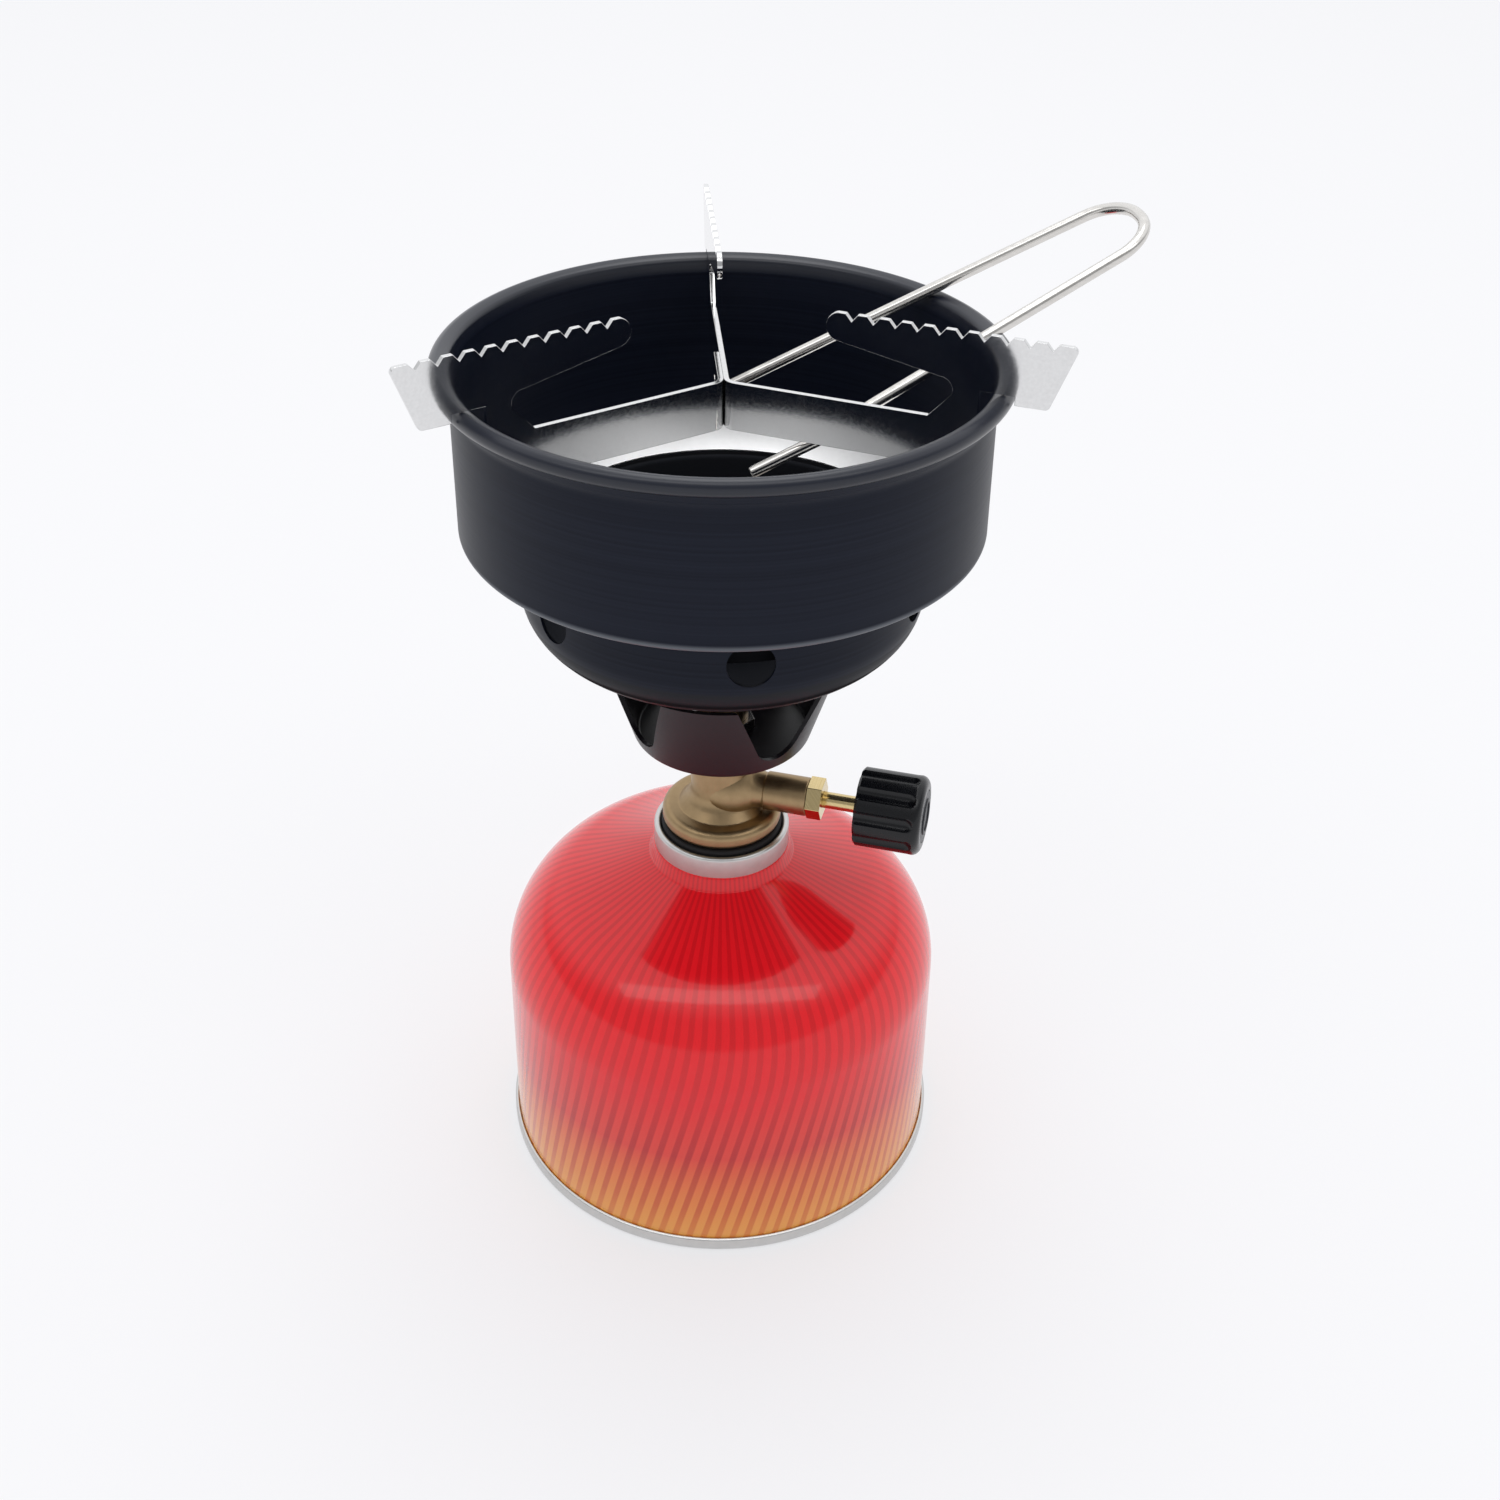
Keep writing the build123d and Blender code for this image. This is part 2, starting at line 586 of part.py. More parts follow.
with BuildPart() as knob:
    with BuildSketch(spindle_plane(KNOB_X)):
        Circle(KNOB_RADIUS)
    extrude(amount=KNOB_LENGTH)
    fillet(knob.edges().group_by(Axis.X)[-1], radius=KNOB_EDGE)
    chamfer(knob.edges().group_by(Axis.X)[0], length=KNOB_EDGE / 4)
    flute_circle = KNOB_RADIUS + FLUTE_RADIUS - FLUTE_DEPTH
    with BuildSketch(spindle_plane(KNOB_X)):
        with PolarLocations(flute_circle, KNOB_FLUTES):
            Circle(FLUTE_RADIUS)
    extrude(amount=KNOB_LENGTH - FLUTE_END, mode=Mode.SUBTRACT)
    with BuildSketch(spindle_plane(KNOB_X)):
        Circle(SPINDLE_RADIUS + RUN)
    extrude(amount=KNOB_GRIP + FIT, mode=Mode.SUBTRACT)
    with BuildSketch(spindle_plane(KNOB_END)):
        Circle(KNOB_CAP_RADIUS + FIT)
    extrude(amount=-(KNOB_CAP_SHEET + FIT), mode=Mode.SUBTRACT)
knob.part.label = "knob"
export_step(knob.part, "parts/knob.step")

with BuildPart() as knob_cap:
    with BuildSketch(spindle_plane(KNOB_END - KNOB_CAP_SHEET)):
        Circle(KNOB_CAP_RADIUS)
    extrude(amount=KNOB_CAP_SHEET)
    with BuildSketch(spindle_plane(KNOB_END)):
        Circle(KNOB_RING_RADIUS + KNOB_RING_WIDTH / 2)
        Circle(KNOB_RING_RADIUS - KNOB_RING_WIDTH / 2, mode=Mode.SUBTRACT)
    extrude(amount=KNOB_RING_HEIGHT)
knob_cap.part.label = "knob_cap"
export_step(knob_cap.part, "parts/knob_cap.step")

# Gas jet in the neck, with a hex head and a fine hole
with BuildPart() as gas_jet:
    with BuildSketch(Plane.XY.offset(NECK_TOP - JET_LENGTH)):
        Circle(JET_RADIUS)
    extrude(amount=JET_LENGTH + FIT)
    with BuildSketch(Plane.XY.offset(NECK_TOP + FIT)):
        RegularPolygon(JET_HEX / 2, 6, major_radius=False)
    extrude(amount=JET_HEX_LENGTH)
    with BuildSketch(Plane.XY.offset(NECK_TOP + FIT + JET_HEX_LENGTH)):
        Circle(JET_TIP_RADIUS)
    extrude(amount=JET_TIP_LENGTH)
    with BuildSketch(Plane.XY.offset(NECK_TOP - JET_LENGTH)):
        Circle(JET_BORE_RADIUS)
    extrude(amount=JET_LENGTH + FIT + JET_HEX_LENGTH, mode=Mode.SUBTRACT)
    with BuildSketch(Plane.XY.offset(NECK_TOP + FIT + JET_HEX_LENGTH)):
        Circle(JET_HOLE_RADIUS)
    extrude(amount=JET_TIP_LENGTH, mode=Mode.SUBTRACT)
gas_jet.part.label = "gas_jet"
export_step(gas_jet.part, "parts/gas_jet.step")

# Air shroud: flared cup on the boss, cut by tall arches from its top edge
with BuildPart() as air_shroud:
    with BuildSketch(Plane.XZ):
        with BuildLine():
            rim_out = SHROUD_RADIUS + SHROUD_FLARE * SHROUD_HEIGHT
            bend_in = SHROUD_RADIUS - SHROUD_SHEET + SHROUD_FLARE * SHROUD_SHEET
            Polyline(
                (NECK_RADIUS + FIT, SHROUD_Z), (SHROUD_RADIUS, SHROUD_Z), (rim_out, SHROUD_TOP),
                (rim_out - SHROUD_SHEET, SHROUD_TOP), (bend_in, SHROUD_Z + SHROUD_SHEET),
                (NECK_RADIUS + FIT, SHROUD_Z + SHROUD_SHEET), close=True,
            )
        make_face()
        outer_bend = [v for v in vertices() if v.X > bend_in and v.Y < SHROUD_Z + FIT]
        fillet(outer_bend, radius=SHROUD_CORNER + SHROUD_SHEET)
        inner_bend = vertices().sort_by_distance((bend_in, SHROUD_Z + SHROUD_SHEET))[0]
        fillet(inner_bend, radius=SHROUD_CORNER)
    revolve(axis=Axis.Z)
    for azimuth in ARCH_AZIMUTHS:
        with BuildSketch(facing_plane(azimuth)):
            with Locations((0, SHROUD_Z + ARCH_RISE + ARCH_END_RADIUS)):
                Circle(ARCH_END_RADIUS)
            with Locations((0, SHROUD_TOP + SHROUD_SHEET)):
                Rectangle(ARCH_WIDTH, SHROUD_SHEET)
            make_hull()
        extrude(amount=rim_out + SHROUD_SHEET, mode=Mode.SUBTRACT)
air_shroud.part.label = "air_shroud"
export_step(air_shroud.part, "parts/air_shroud.step")

with BuildPart() as shroud_nut:
    with BuildSketch(Plane.XY.offset(SHROUD_NUT_Z)):
        RegularPolygon(SHROUD_NUT_HEX / 2, 6, major_radius=False)
        Circle(NECK_RADIUS + FIT, mode=Mode.SUBTRACT)
    extrude(amount=SHROUD_NUT_HEIGHT)
shroud_nut.part.label = "shroud_nut"
export_step(shroud_nut.part, "parts/shroud_nut.step")

# Mixing tube: slips over the neck, has air holes by the jet and a flange under the dish
with BuildPart() as mixing_tube:
    with BuildSketch(Plane.XY.offset(TUBE_Z)):
        Circle(TUBE_RADIUS)
        Circle(TUBE_BORE_RADIUS, mode=Mode.SUBTRACT)
    extrude(amount=TUBE_TOP - TUBE_Z)
    with BuildSketch(Plane.XY.offset(TUBE_Z)):
        Circle(NECK_RADIUS + FIT)
    extrude(amount=NECK_TOP + FIT - TUBE_Z, mode=Mode.SUBTRACT)
    with BuildSketch(Plane.XY.offset(DISH_BOTTOM - FIT)):
        Circle(TUBE_FLANGE_RADIUS)
        Circle(TUBE_BORE_RADIUS, mode=Mode.SUBTRACT)
    extrude(amount=-TUBE_FLANGE_HEIGHT)
    with BuildSketch(Plane.XZ.offset(-TUBE_FLANGE_RADIUS)):
        with Locations((0, TUBE_Z + TUBE_HOLE_RISE)):
            Circle(TUBE_HOLE_RADIUS)
    extrude(amount=2 * TUBE_FLANGE_RADIUS, mode=Mode.SUBTRACT)
    with BuildSketch(Plane.YZ.offset(-TUBE_FLANGE_RADIUS)):
        with Locations((0, TUBE_Z + TUBE_HOLE_RISE)):
            Circle(TUBE_HOLE_RADIUS)
    extrude(amount=2 * TUBE_FLANGE_RADIUS, mode=Mode.SUBTRACT)
mixing_tube.part.label = "mixing_tube"
export_step(mixing_tube.part, "parts/mixing_tube.step")

# Lower dish: a flange round its top is welded under the bowl's floor, air holes round its wall
with BuildPart() as lower_dish:
    with BuildSketch(Plane.XZ):
        with BuildLine():
            hub = TUBE_RADIUS + FIT
            flange_end = DISH_RADIUS + FLANGE_WIDTH
            corner_z = DISH_BOTTOM + DISH_CORNER
            corner_centre = (DISH_RADIUS - DISH_CORNER, corner_z)
            Line((hub, DISH_BOTTOM), (DISH_RADIUS - DISH_CORNER, DISH_BOTTOM))
            CenterArc(corner_centre, DISH_CORNER, -90, 90)
            Polyline(
                (DISH_RADIUS, corner_z), (DISH_RADIUS, flange_height(DISH_RADIUS)),
                (flange_end, flange_height(flange_end)),
                (flange_end, flange_height(flange_end) + DISH_RISE),
                (DISH_INNER, flange_height(DISH_INNER) + DISH_RISE), (DISH_INNER, corner_z),
            )
            CenterArc(corner_centre, DISH_CORNER - DISH_SHEET, -90, 90)
            Polyline(
                (DISH_RADIUS - DISH_CORNER, DISH_BOTTOM + DISH_SHEET),
                (hub, DISH_BOTTOM + DISH_SHEET), (hub, DISH_BOTTOM),
            )
        make_face()
    revolve(axis=Axis.Z)
    for step in range(AIR_HOLES):
        with BuildSketch(facing_plane(AIR_HOLE_AZIMUTH + step * 360 / AIR_HOLES)):
            with Locations((0, AIR_HOLE_HEIGHT)):
                Circle(AIR_HOLE_RADIUS)
        extrude(amount=DISH_RADIUS + DISH_SHEET, mode=Mode.SUBTRACT)
lower_dish.part.label = "lower_dish"
export_step(lower_dish.part, "parts/lower_dish.step")

with BuildPart() as dish_nut:
    with BuildSketch(Plane.XY.offset(DISH_NUT_Z)):
        RegularPolygon(DISH_NUT_HEX / 2, 6, major_radius=False)
        Circle(TUBE_RADIUS + FIT, mode=Mode.SUBTRACT)
    extrude(amount=DISH_NUT_HEIGHT)
dish_nut.part.label = "dish_nut"
export_step(dish_nut.part, "parts/dish_nut.step")

# Windscreen bowl: sloping floor turned down into a throat, straight wall and rolled lip
with BuildPart() as windscreen_bowl:
    with BuildSketch(Plane.XZ):
        with BuildLine():
            throat_out = THROAT_RADIUS + BOWL_SHEET
            throat_z = floor_height(throat_out) - THROAT_DROP
            flare_z = LIP_CENTRE_Z - 3 * LIP_BEAD
            inner_z = LIP_CENTRE_Z - LIP_BEAD
            Polyline(
                (THROAT_RADIUS, throat_z), (throat_out, throat_z), (throat_out, floor_height(throat_out)),
                (BOWL_RADIUS, BOWL_CORNER_HEIGHT), (BOWL_RADIUS, flare_z),
            )
            ThreePointArc(
                (BOWL_RADIUS, flare_z),
                (BOWL_RADIUS + (LIP_CREST_RADIUS - BOWL_RADIUS) * 0.3, LIP_CENTRE_Z - 1.75 * LIP_BEAD),
                (LIP_CREST_RADIUS, LIP_CENTRE_Z - LIP_BEAD),
            )
            CenterArc((LIP_CREST_RADIUS, LIP_CENTRE_Z), LIP_BEAD, -90, 180)
            ThreePointArc(
                (LIP_CREST_RADIUS, LIP_TOP),
                (BOWL_INNER + (LIP_CREST_RADIUS - BOWL_INNER) * 0.3, LIP_TOP - LIP_BEAD * 0.6),
                (BOWL_INNER, inner_z),
            )
            Polyline(
                (BOWL_INNER, inner_z), (BOWL_INNER, floor_height(BOWL_INNER) + BOWL_RISE),
                (THROAT_RADIUS, floor_height(THROAT_RADIUS) + BOWL_RISE), (THROAT_RADIUS, throat_z),
            )
        make_face()
        throat_top = (THROAT_RADIUS, floor_height(THROAT_RADIUS) + BOWL_RISE)
        throat_edge = vertices().sort_by_distance(throat_top)[0]
        fillet(throat_edge, radius=THROAT_BEND + BOWL_SHEET)
        corner = [v for v in vertices() if v.X > BOWL_RADIUS - FIT and v.Y < BOWL_CORNER_HEIGHT + FIT]
        fillet(corner, radius=BOWL_CORNER_RADIUS)
    revolve(axis=Axis.Z)
windscreen_bowl.part.label = "windscreen_bowl"
export_step(windscreen_bowl.part, "parts/windscreen_bowl.step")

# Bright conical ring that lies on the bowl's floor
with BuildPart() as heat_reflector:
    with BuildSketch(Plane.XZ):
        with BuildLine():
            ring_in = THROAT_RADIUS + BOWL_SHEET + REFLECTOR_INSET
            ring_out = BOWL_INNER - REFLECTOR_MARGIN
            Polyline(
                (ring_in, reflector_height(ring_in)), (ring_out, reflector_height(ring_out)),
                (ring_out, reflector_height(ring_out) + REFLECTOR_RISE),
                (ring_in, reflector_height(ring_in) + REFLECTOR_RISE), close=True,
            )
        make_face()
    revolve(axis=Axis.Z)
heat_reflector.part.label = "heat_reflector"
export_step(heat_reflector.part, "parts/heat_reflector.step")

# Burner head: hub on the mixing tube, round tray with side ports, bridge for the stud
with BuildPart() as burner_head:
    with BuildSketch(Plane.XY.offset(BURNER_Z)):
        Circle(BURNER_HUB_RADIUS)
    extrude(amount=BURNER_HUB_LENGTH)
    with BuildSketch(Plane.XY.offset(BURNER_FLOOR)):
        Circle(BURNER_RADIUS)
    extrude(amount=BURNER_WALL_HEIGHT)
    with BuildSketch(Plane.XY.offset(BURNER_FLOOR + BURNER_SHEET)):
        Circle(BURNER_RADIUS - BURNER_SHEET)
    extrude(amount=BURNER_WALL_HEIGHT - BURNER_SHEET, mode=Mode.SUBTRACT)
    with BuildSketch(Plane.XY.offset(BURNER_FLOOR + BURNER_SHEET)):
        Rectangle(2 * BURNER_RADIUS - BURNER_SHEET, BRIDGE_WIDTH)
    extrude(amount=BRIDGE_HEIGHT)
    with BuildSketch(Plane.XY.offset(BURNER_Z)):
        Circle(TUBE_RADIUS + FIT)
    extrude(amount=BURNER_HUB_LENGTH, mode=Mode.SUBTRACT)
    with BuildSketch(Plane.XY.offset(BURNER_FLOOR)):
        Circle(TUBE_BORE_RADIUS)
    extrude(amount=BURNER_SHEET, mode=Mode.SUBTRACT)
    with BuildSketch(Plane.XY.offset(BURNER_FLOOR + BURNER_SHEET)):
        Circle(STUD_RADIUS + FIT)
    extrude(amount=BRIDGE_HEIGHT, mode=Mode.SUBTRACT)
    for step in range(BURNER_PORTS):
        with BuildSketch(facing_plane((step + 0.5) * 360 / BURNER_PORTS)):
            with Locations((0, BURNER_TOP - BURNER_PORT_DROP)):
                Circle(BURNER_PORT_RADIUS)
        extrude(amount=BURNER_RADIUS + BURNER_SHEET, mode=Mode.SUBTRACT)
burner_head.part.label = "burner_head"
export_step(burner_head.part, "parts/burner_head.step")

with BuildPart() as burner_stud:
    with BuildSketch(Plane.XY.offset(BURNER_FLOOR + BURNER_SHEET)):
        Circle(STUD_RADIUS)
    extrude(amount=STUD_TOP - BURNER_FLOOR - BURNER_SHEET)
burner_stud.part.label = "burner_stud"
export_step(burner_stud.part, "parts/burner_stud.step")

with BuildPart() as burner_cap:
    with BuildSketch(Plane.XY.offset(CAP_Z)):
        Circle(BURNER_RADIUS)
    extrude(amount=CAP_HEIGHT)
    chamfer(burner_cap.edges().group_by(Axis.Z)[-1], length=CAP_HEIGHT / 2)
    with BuildSketch(Plane.XY.offset(CAP_Z)):
        Circle(BURNER_RADIUS - BURNER_SHEET - FIT)
    extrude(amount=-CAP_SPIGOT)
    with BuildSketch(Plane.XY.offset(CAP_Z - CAP_SPIGOT)):
        Circle(STUD_RADIUS + FIT)
    extrude(amount=CAP_SPIGOT + CAP_HEIGHT, mode=Mode.SUBTRACT)
burner_cap.part.label = "burner_cap"
export_step(burner_cap.part, "parts/burner_cap.step")

with BuildPart() as burner_nut:
    with BuildSketch(Plane.XY.offset(BURNER_NUT_Z)):
        RegularPolygon(BURNER_NUT_HEX / 2, 6, major_radius=False)
    extrude(amount=BURNER_NUT_HEIGHT)
    with BuildSketch(Plane.XY.offset(BURNER_NUT_Z)):
        Circle(STUD_RADIUS + FIT)
    extrude(amount=BURNER_NUT_HEIGHT - BURNER_NUT_ROOF, mode=Mode.SUBTRACT)
burner_nut.part.label = "burner_nut"
export_step(burner_nut.part, "parts/burner_nut.step")

# Pot support: an arm's outline stands in its own upright plane, the strips bend at the centre
SEAT_Z = LIP_TOP + REST
STRIP_BOTTOM = LIP_TOP - STRIP_DROP
STRIP_TOP = STRIP_BOTTOM + STRIP_WIDTH
CREST_HEIGHT = SEAT_Z + CREST_RISE
TAB_BOTTOM = SEAT_Z - TAB_DROP
ARM_INNER_REACH = BOWL_INNER - ARM_WALL_GAP
ARM_OUTER_REACH = LIP_RADIUS + LIP_GAP
WEB_REACH = ARM_INNER_REACH - WEB_WIDTH
SLOT_END = (WEB_REACH, SEAT_Z - SLOT_DROP)
SLOT_OUTER = (WEB_REACH - SLOT_ROUND, SEAT_Z + BLADE_OUTER_RISE)
SLOT_INNER = (ARM_INNER_REACH - BLADE_REACH, SEAT_Z + BLADE_INNER_RISE)
TAB_END = ARM_OUTER_REACH + TAB_WIDTH + TAB_LEAN
NOTCH_START = SLOT_INNER[0] + NOTCH_INSET
NOTCH_STOP = TAB_END - NOTCH_END_INSET
BLADE_END = (SLOT_INNER[0] - BLADE_NOSE, (SLOT_INNER[1] + CREST_HEIGHT) / 2)


def crest_points():
    """The notched top edge, from the outer end to the inner end."""
    points = []
    for step in reversed(range(NOTCHES)):
        middle = NOTCH_START + step * (NOTCH_STOP - NOTCH_START) / (NOTCHES - 1)
        points.append((middle + NOTCH_WIDTH / 2, CREST_HEIGHT))
        points.append((middle, CREST_HEIGHT - NOTCH_DEPTH))
        points.append((middle - NOTCH_WIDTH / 2, CREST_HEIGHT))
    return points


def bent_strip(arm_azimuth, rear_reach, side):
    """Plan of a strip that comes in along an arm, bends and runs out on one side of the rear arm."""
    shift = side * SUPPORT_SHEET / 2
    corner = polar(shift / sin(radians(REAR_AZIMUTH - arm_azimuth)), arm_azimuth)
    rear_end = polar(rear_reach, REAR_AZIMUTH) + polar(shift, REAR_AZIMUTH - 90)
    return polar(STRIP_OVERLAP, arm_azimuth), corner, rear_end


STRIP_OVERLAP = 3 * SUPPORT_BEND
ARM_START = SUPPORT_BEND + SUPPORT_SHEET

# One arm beyond the bend: strip, outer web, notched blade and the tab over the lip
with BuildSketch() as arm_outline:
    with BuildLine():
        blade_top = (SLOT_INNER[0], CREST_HEIGHT)
        Polyline(
            (ARM_START, STRIP_TOP), (ARM_START, STRIP_BOTTOM),
            (ARM_INNER_REACH - STRIP_CORNER, STRIP_BOTTOM),
            (ARM_INNER_REACH, STRIP_BOTTOM + STRIP_CORNER), (ARM_INNER_REACH, SEAT_Z),
            (ARM_OUTER_REACH, SEAT_Z), (ARM_OUTER_REACH, TAB_BOTTOM),
            (ARM_OUTER_REACH + TAB_WIDTH, TAB_BOTTOM),
            (TAB_END, CREST_HEIGHT),
            *crest_points(), blade_top,
        )
        ThreePointArc(blade_top, BLADE_END, SLOT_INNER)
        Line(SLOT_INNER, SLOT_OUTER)
        slot_middle = (SLOT_END[0] - SLOT_ROUND * 0.18, (SLOT_OUTER[1] + SLOT_END[1]) / 2 + SLOT_DROP * 0.45)
        ThreePointArc(SLOT_OUTER, slot_middle, SLOT_END)
        Polyline(SLOT_END, (WEB_REACH - WEB_LEAN, STRIP_TOP), (ARM_START, STRIP_TOP))
    make_face()
    fillet([v for v in vertices() if v.X > ARM_OUTER_REACH + TAB_WIDTH - FIT], radius=TAB_CORNER)

with BuildPart() as support_pair_sheet:
    with BuildSketch(Plane.XY.offset(STRIP_BOTTOM)):
        with BuildLine():
            FilletPolyline(*bent_strip(RIGHT_AZIMUTH, STRIP_OVERLAP, 1), radius=SUPPORT_BEND)
        trace(line_width=SUPPORT_SHEET)
    extrude(amount=STRIP_TOP - STRIP_BOTTOM)
    with BuildSketch(upright_plane(RIGHT_AZIMUTH)):
        add(arm_outline.sketch)
    extrude(amount=SUPPORT_SHEET / 2, both=True)
    with BuildSketch(upright_plane(REAR_AZIMUTH, SUPPORT_SHEET / 2)):
        add(arm_outline.sketch)
    extrude(amount=SUPPORT_SHEET / 2, both=True)
support_pair_sheet.part.label = "support_pair_sheet"
export_step(support_pair_sheet.part, "parts/support_pair_sheet.step")

with BuildPart() as support_single_sheet:
    with BuildSketch(Plane.XY.offset(STRIP_BOTTOM)):
        with BuildLine():
            FilletPolyline(*bent_strip(LEFT_AZIMUTH, WELD_TAB, -1), radius=SUPPORT_BEND)
        trace(line_width=SUPPORT_SHEET)
    extrude(amount=STRIP_TOP - STRIP_BOTTOM)
    with BuildSketch(upright_plane(LEFT_AZIMUTH)):
        add(arm_outline.sketch)
    extrude(amount=SUPPORT_SHEET / 2, both=True)
support_single_sheet.part.label = "support_single_sheet"
export_step(support_single_sheet.part, "parts/support_single_sheet.step")

# Wire handle: two splayed legs, a round loop outside the lip, and one cranked foot inside the bowl
WIRE_Z = LIP_CENTRE_Z + (LIP_BEAD + WIRE_REST + WIRE_RADIUS) / cos(radians(HANDLE_RISE))
CONTACTS = [polar(LIP_CREST_RADIUS, azimuth, WIRE_Z) for azimuth in HANDLE_CONTACT_AZIMUTHS]
LEG_HALF_GAP = (CONTACTS[1] - CONTACTS[0]).length / 2
HANDLE_OUT = polar(cos(radians(HANDLE_RISE)), HANDLE_AZIMUTH, sin(radians(HANDLE_RISE)))
HANDLE_SIDE = polar(1.0, HANDLE_AZIMUTH + 90)
HANDLE_UP = HANDLE_OUT.cross(HANDLE_SIDE)
HANDLE_NORMAL = HANDLE_UP * cos(radians(HANDLE_BANK)) - HANDLE_SIDE * sin(radians(HANDLE_BANK))
HANDLE_PLANE = Plane(origin=(CONTACTS[0] + CONTACTS[1]) / 2, x_dir=HANDLE_OUT, z_dir=HANDLE_NORMAL)


def leg_point(reach):
    """Half the gap between the legs' centre lines at a reach along the handle."""
    return LEG_HALF_GAP - LEG_TAPER * reach


with BuildPart() as wire_handle:
    with BuildLine(HANDLE_PLANE) as wire_path:
        FilletPolyline(
            (FOOT_END_REACH, -leg_point(FOOT_END_REACH) - FOOT_END_SPREAD),
            (FOOT_KNEE_REACH, -leg_point(FOOT_KNEE_REACH) - FOOT_KNEE_SPREAD),
            (FOOT_START_REACH, -leg_point(FOOT_START_REACH)),
            (LOOP_REACH, -leg_point(LOOP_REACH)),
            (LOOP_REACH, leg_point(LOOP_REACH)),
            (LEG_END_REACH, leg_point(LEG_END_REACH)),
            radius=[FOOT_BEND_RADIUS, FOOT_BEND_RADIUS, LOOP_CORNER, LOOP_CORNER],
        )
    wire = wire_path.wires()[0]
    with BuildSketch(Plane(origin=wire @ 0, z_dir=wire % 0)):
        Circle(WIRE_RADIUS)
    sweep(path=wire)
wire_handle.part.label = "wire_handle"
export_step(wire_handle.part, "parts/wire_handle.step")
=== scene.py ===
"""A camping stove on its gas cartridge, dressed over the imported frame. Metres, +Z up."""

import json
import math

import bmesh
import bpy
from mathutils import Matrix, Vector


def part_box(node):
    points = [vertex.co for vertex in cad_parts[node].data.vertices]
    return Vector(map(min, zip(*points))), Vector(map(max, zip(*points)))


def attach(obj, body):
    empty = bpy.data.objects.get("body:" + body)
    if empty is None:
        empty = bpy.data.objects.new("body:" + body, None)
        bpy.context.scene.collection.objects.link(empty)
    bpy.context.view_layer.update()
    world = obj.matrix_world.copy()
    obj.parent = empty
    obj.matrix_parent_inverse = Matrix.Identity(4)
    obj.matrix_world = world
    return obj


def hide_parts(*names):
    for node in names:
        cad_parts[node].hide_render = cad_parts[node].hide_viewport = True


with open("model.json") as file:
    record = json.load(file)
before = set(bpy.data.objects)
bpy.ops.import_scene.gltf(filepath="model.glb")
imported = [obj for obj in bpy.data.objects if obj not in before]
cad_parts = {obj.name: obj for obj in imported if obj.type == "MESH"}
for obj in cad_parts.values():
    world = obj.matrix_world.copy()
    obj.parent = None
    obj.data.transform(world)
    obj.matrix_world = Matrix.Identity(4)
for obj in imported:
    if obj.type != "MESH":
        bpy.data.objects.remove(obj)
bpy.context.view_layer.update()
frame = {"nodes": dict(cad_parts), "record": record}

MM = 0.001
UP = Vector((0, 0, 1))
ROUND = 192                       # steps round a turned piece
FINE_ROUND = 256                  # steps round the largest ones
COLLAR_ROUND = 128
BRASS_ROUND = 96
ARM_STEPS = 72
DISC_ROUND = 64
SPINDLE_ROUND = 48
SHARED_SIDE = 0.49                # most of a side that a rounding takes, where both ends are rounded
OWN_SIDE = 0.98                   # the same where only its own end is
TIP_RADIUS = 0.0001 * MM          # a ring smaller than this is a single point
EDGE_ANGLE = 32.0                 # a fold sharper than this is shaded as an edge
SOFT_ANGLE = 50.0                 # the same on the can and the bowl, whose bends are soft
KNOB_ANGLE = 40.0                 # the same on the knob, between its flutes
EASED_ANGLE = 38.0                # a fold sharper than this is rounded
MERGE_DISTANCE = 0.002 * MM       # points of a solid closer than this are one
FLAT_ANGLE = math.radians(0.6)    # faces of a solid that turn less than this are one

# Gas cartridge
CAN_SHEET = 0.6 * MM
CAN_MOUTH_RADIUS = 14.2 * MM
SHOULDER_HEIGHT = 50.0 * MM
SHOULDER_RADIUS = 26.0 * MM
SHOULDER_STEPS = 32
DOME_SLOPE = math.radians(21.0)
SEAM_HEIGHT = 3.6 * MM
SEAM_GROOVE = 0.5 * MM
SEAM_INNER_ROUND = 0.5 * MM
SEAM_FOOT_ROUND = 0.7 * MM
SEAM_TOP_ROUND = 0.6 * MM
SEAM_LAP_ROUND = 0.3 * MM
BASE_RISE = 9.0 * MM
BASE_STEPS = 24
COLLAR_WIDTH = 1.7 * MM
COLLAR_CURL = 2.8 * MM
COLLAR_FOOT_ROUND = 0.5 * MM
NECK_RING_WIDTH = 1.5 * MM
NECK_RING_HEIGHT = 3.0 * MM
NECK_RING_STEPS = 16
CUP_LEDGE_DROP = 1.7 * MM
CUP_WELL_RADIUS = 11.5 * MM
CUP_POST_RADIUS = 5.5 * MM
CUP_BORE_RADIUS = 1.8 * MM
CUP_POST_REACH = 6.2 * MM
CUP_SKIRT = 2.0 * MM
CUP_EDGE_ROUND = 0.4 * MM
CUP_WELL_ROUND = 0.8 * MM
CUP_UNDER_ROUND = 0.6 * MM
CUP_POST_FOOT_ROUND = 0.5 * MM
CUP_BORE_ROUND = 0.2 * MM
SEAL_ROUND = 0.8 * MM
RAYS = 96
RAY_LEAN = 78.0                   # ray widths that a ray leans for each metre down the wall
RAY_START = 66.0 * MM
RAY_EASE = 14.0 * MM

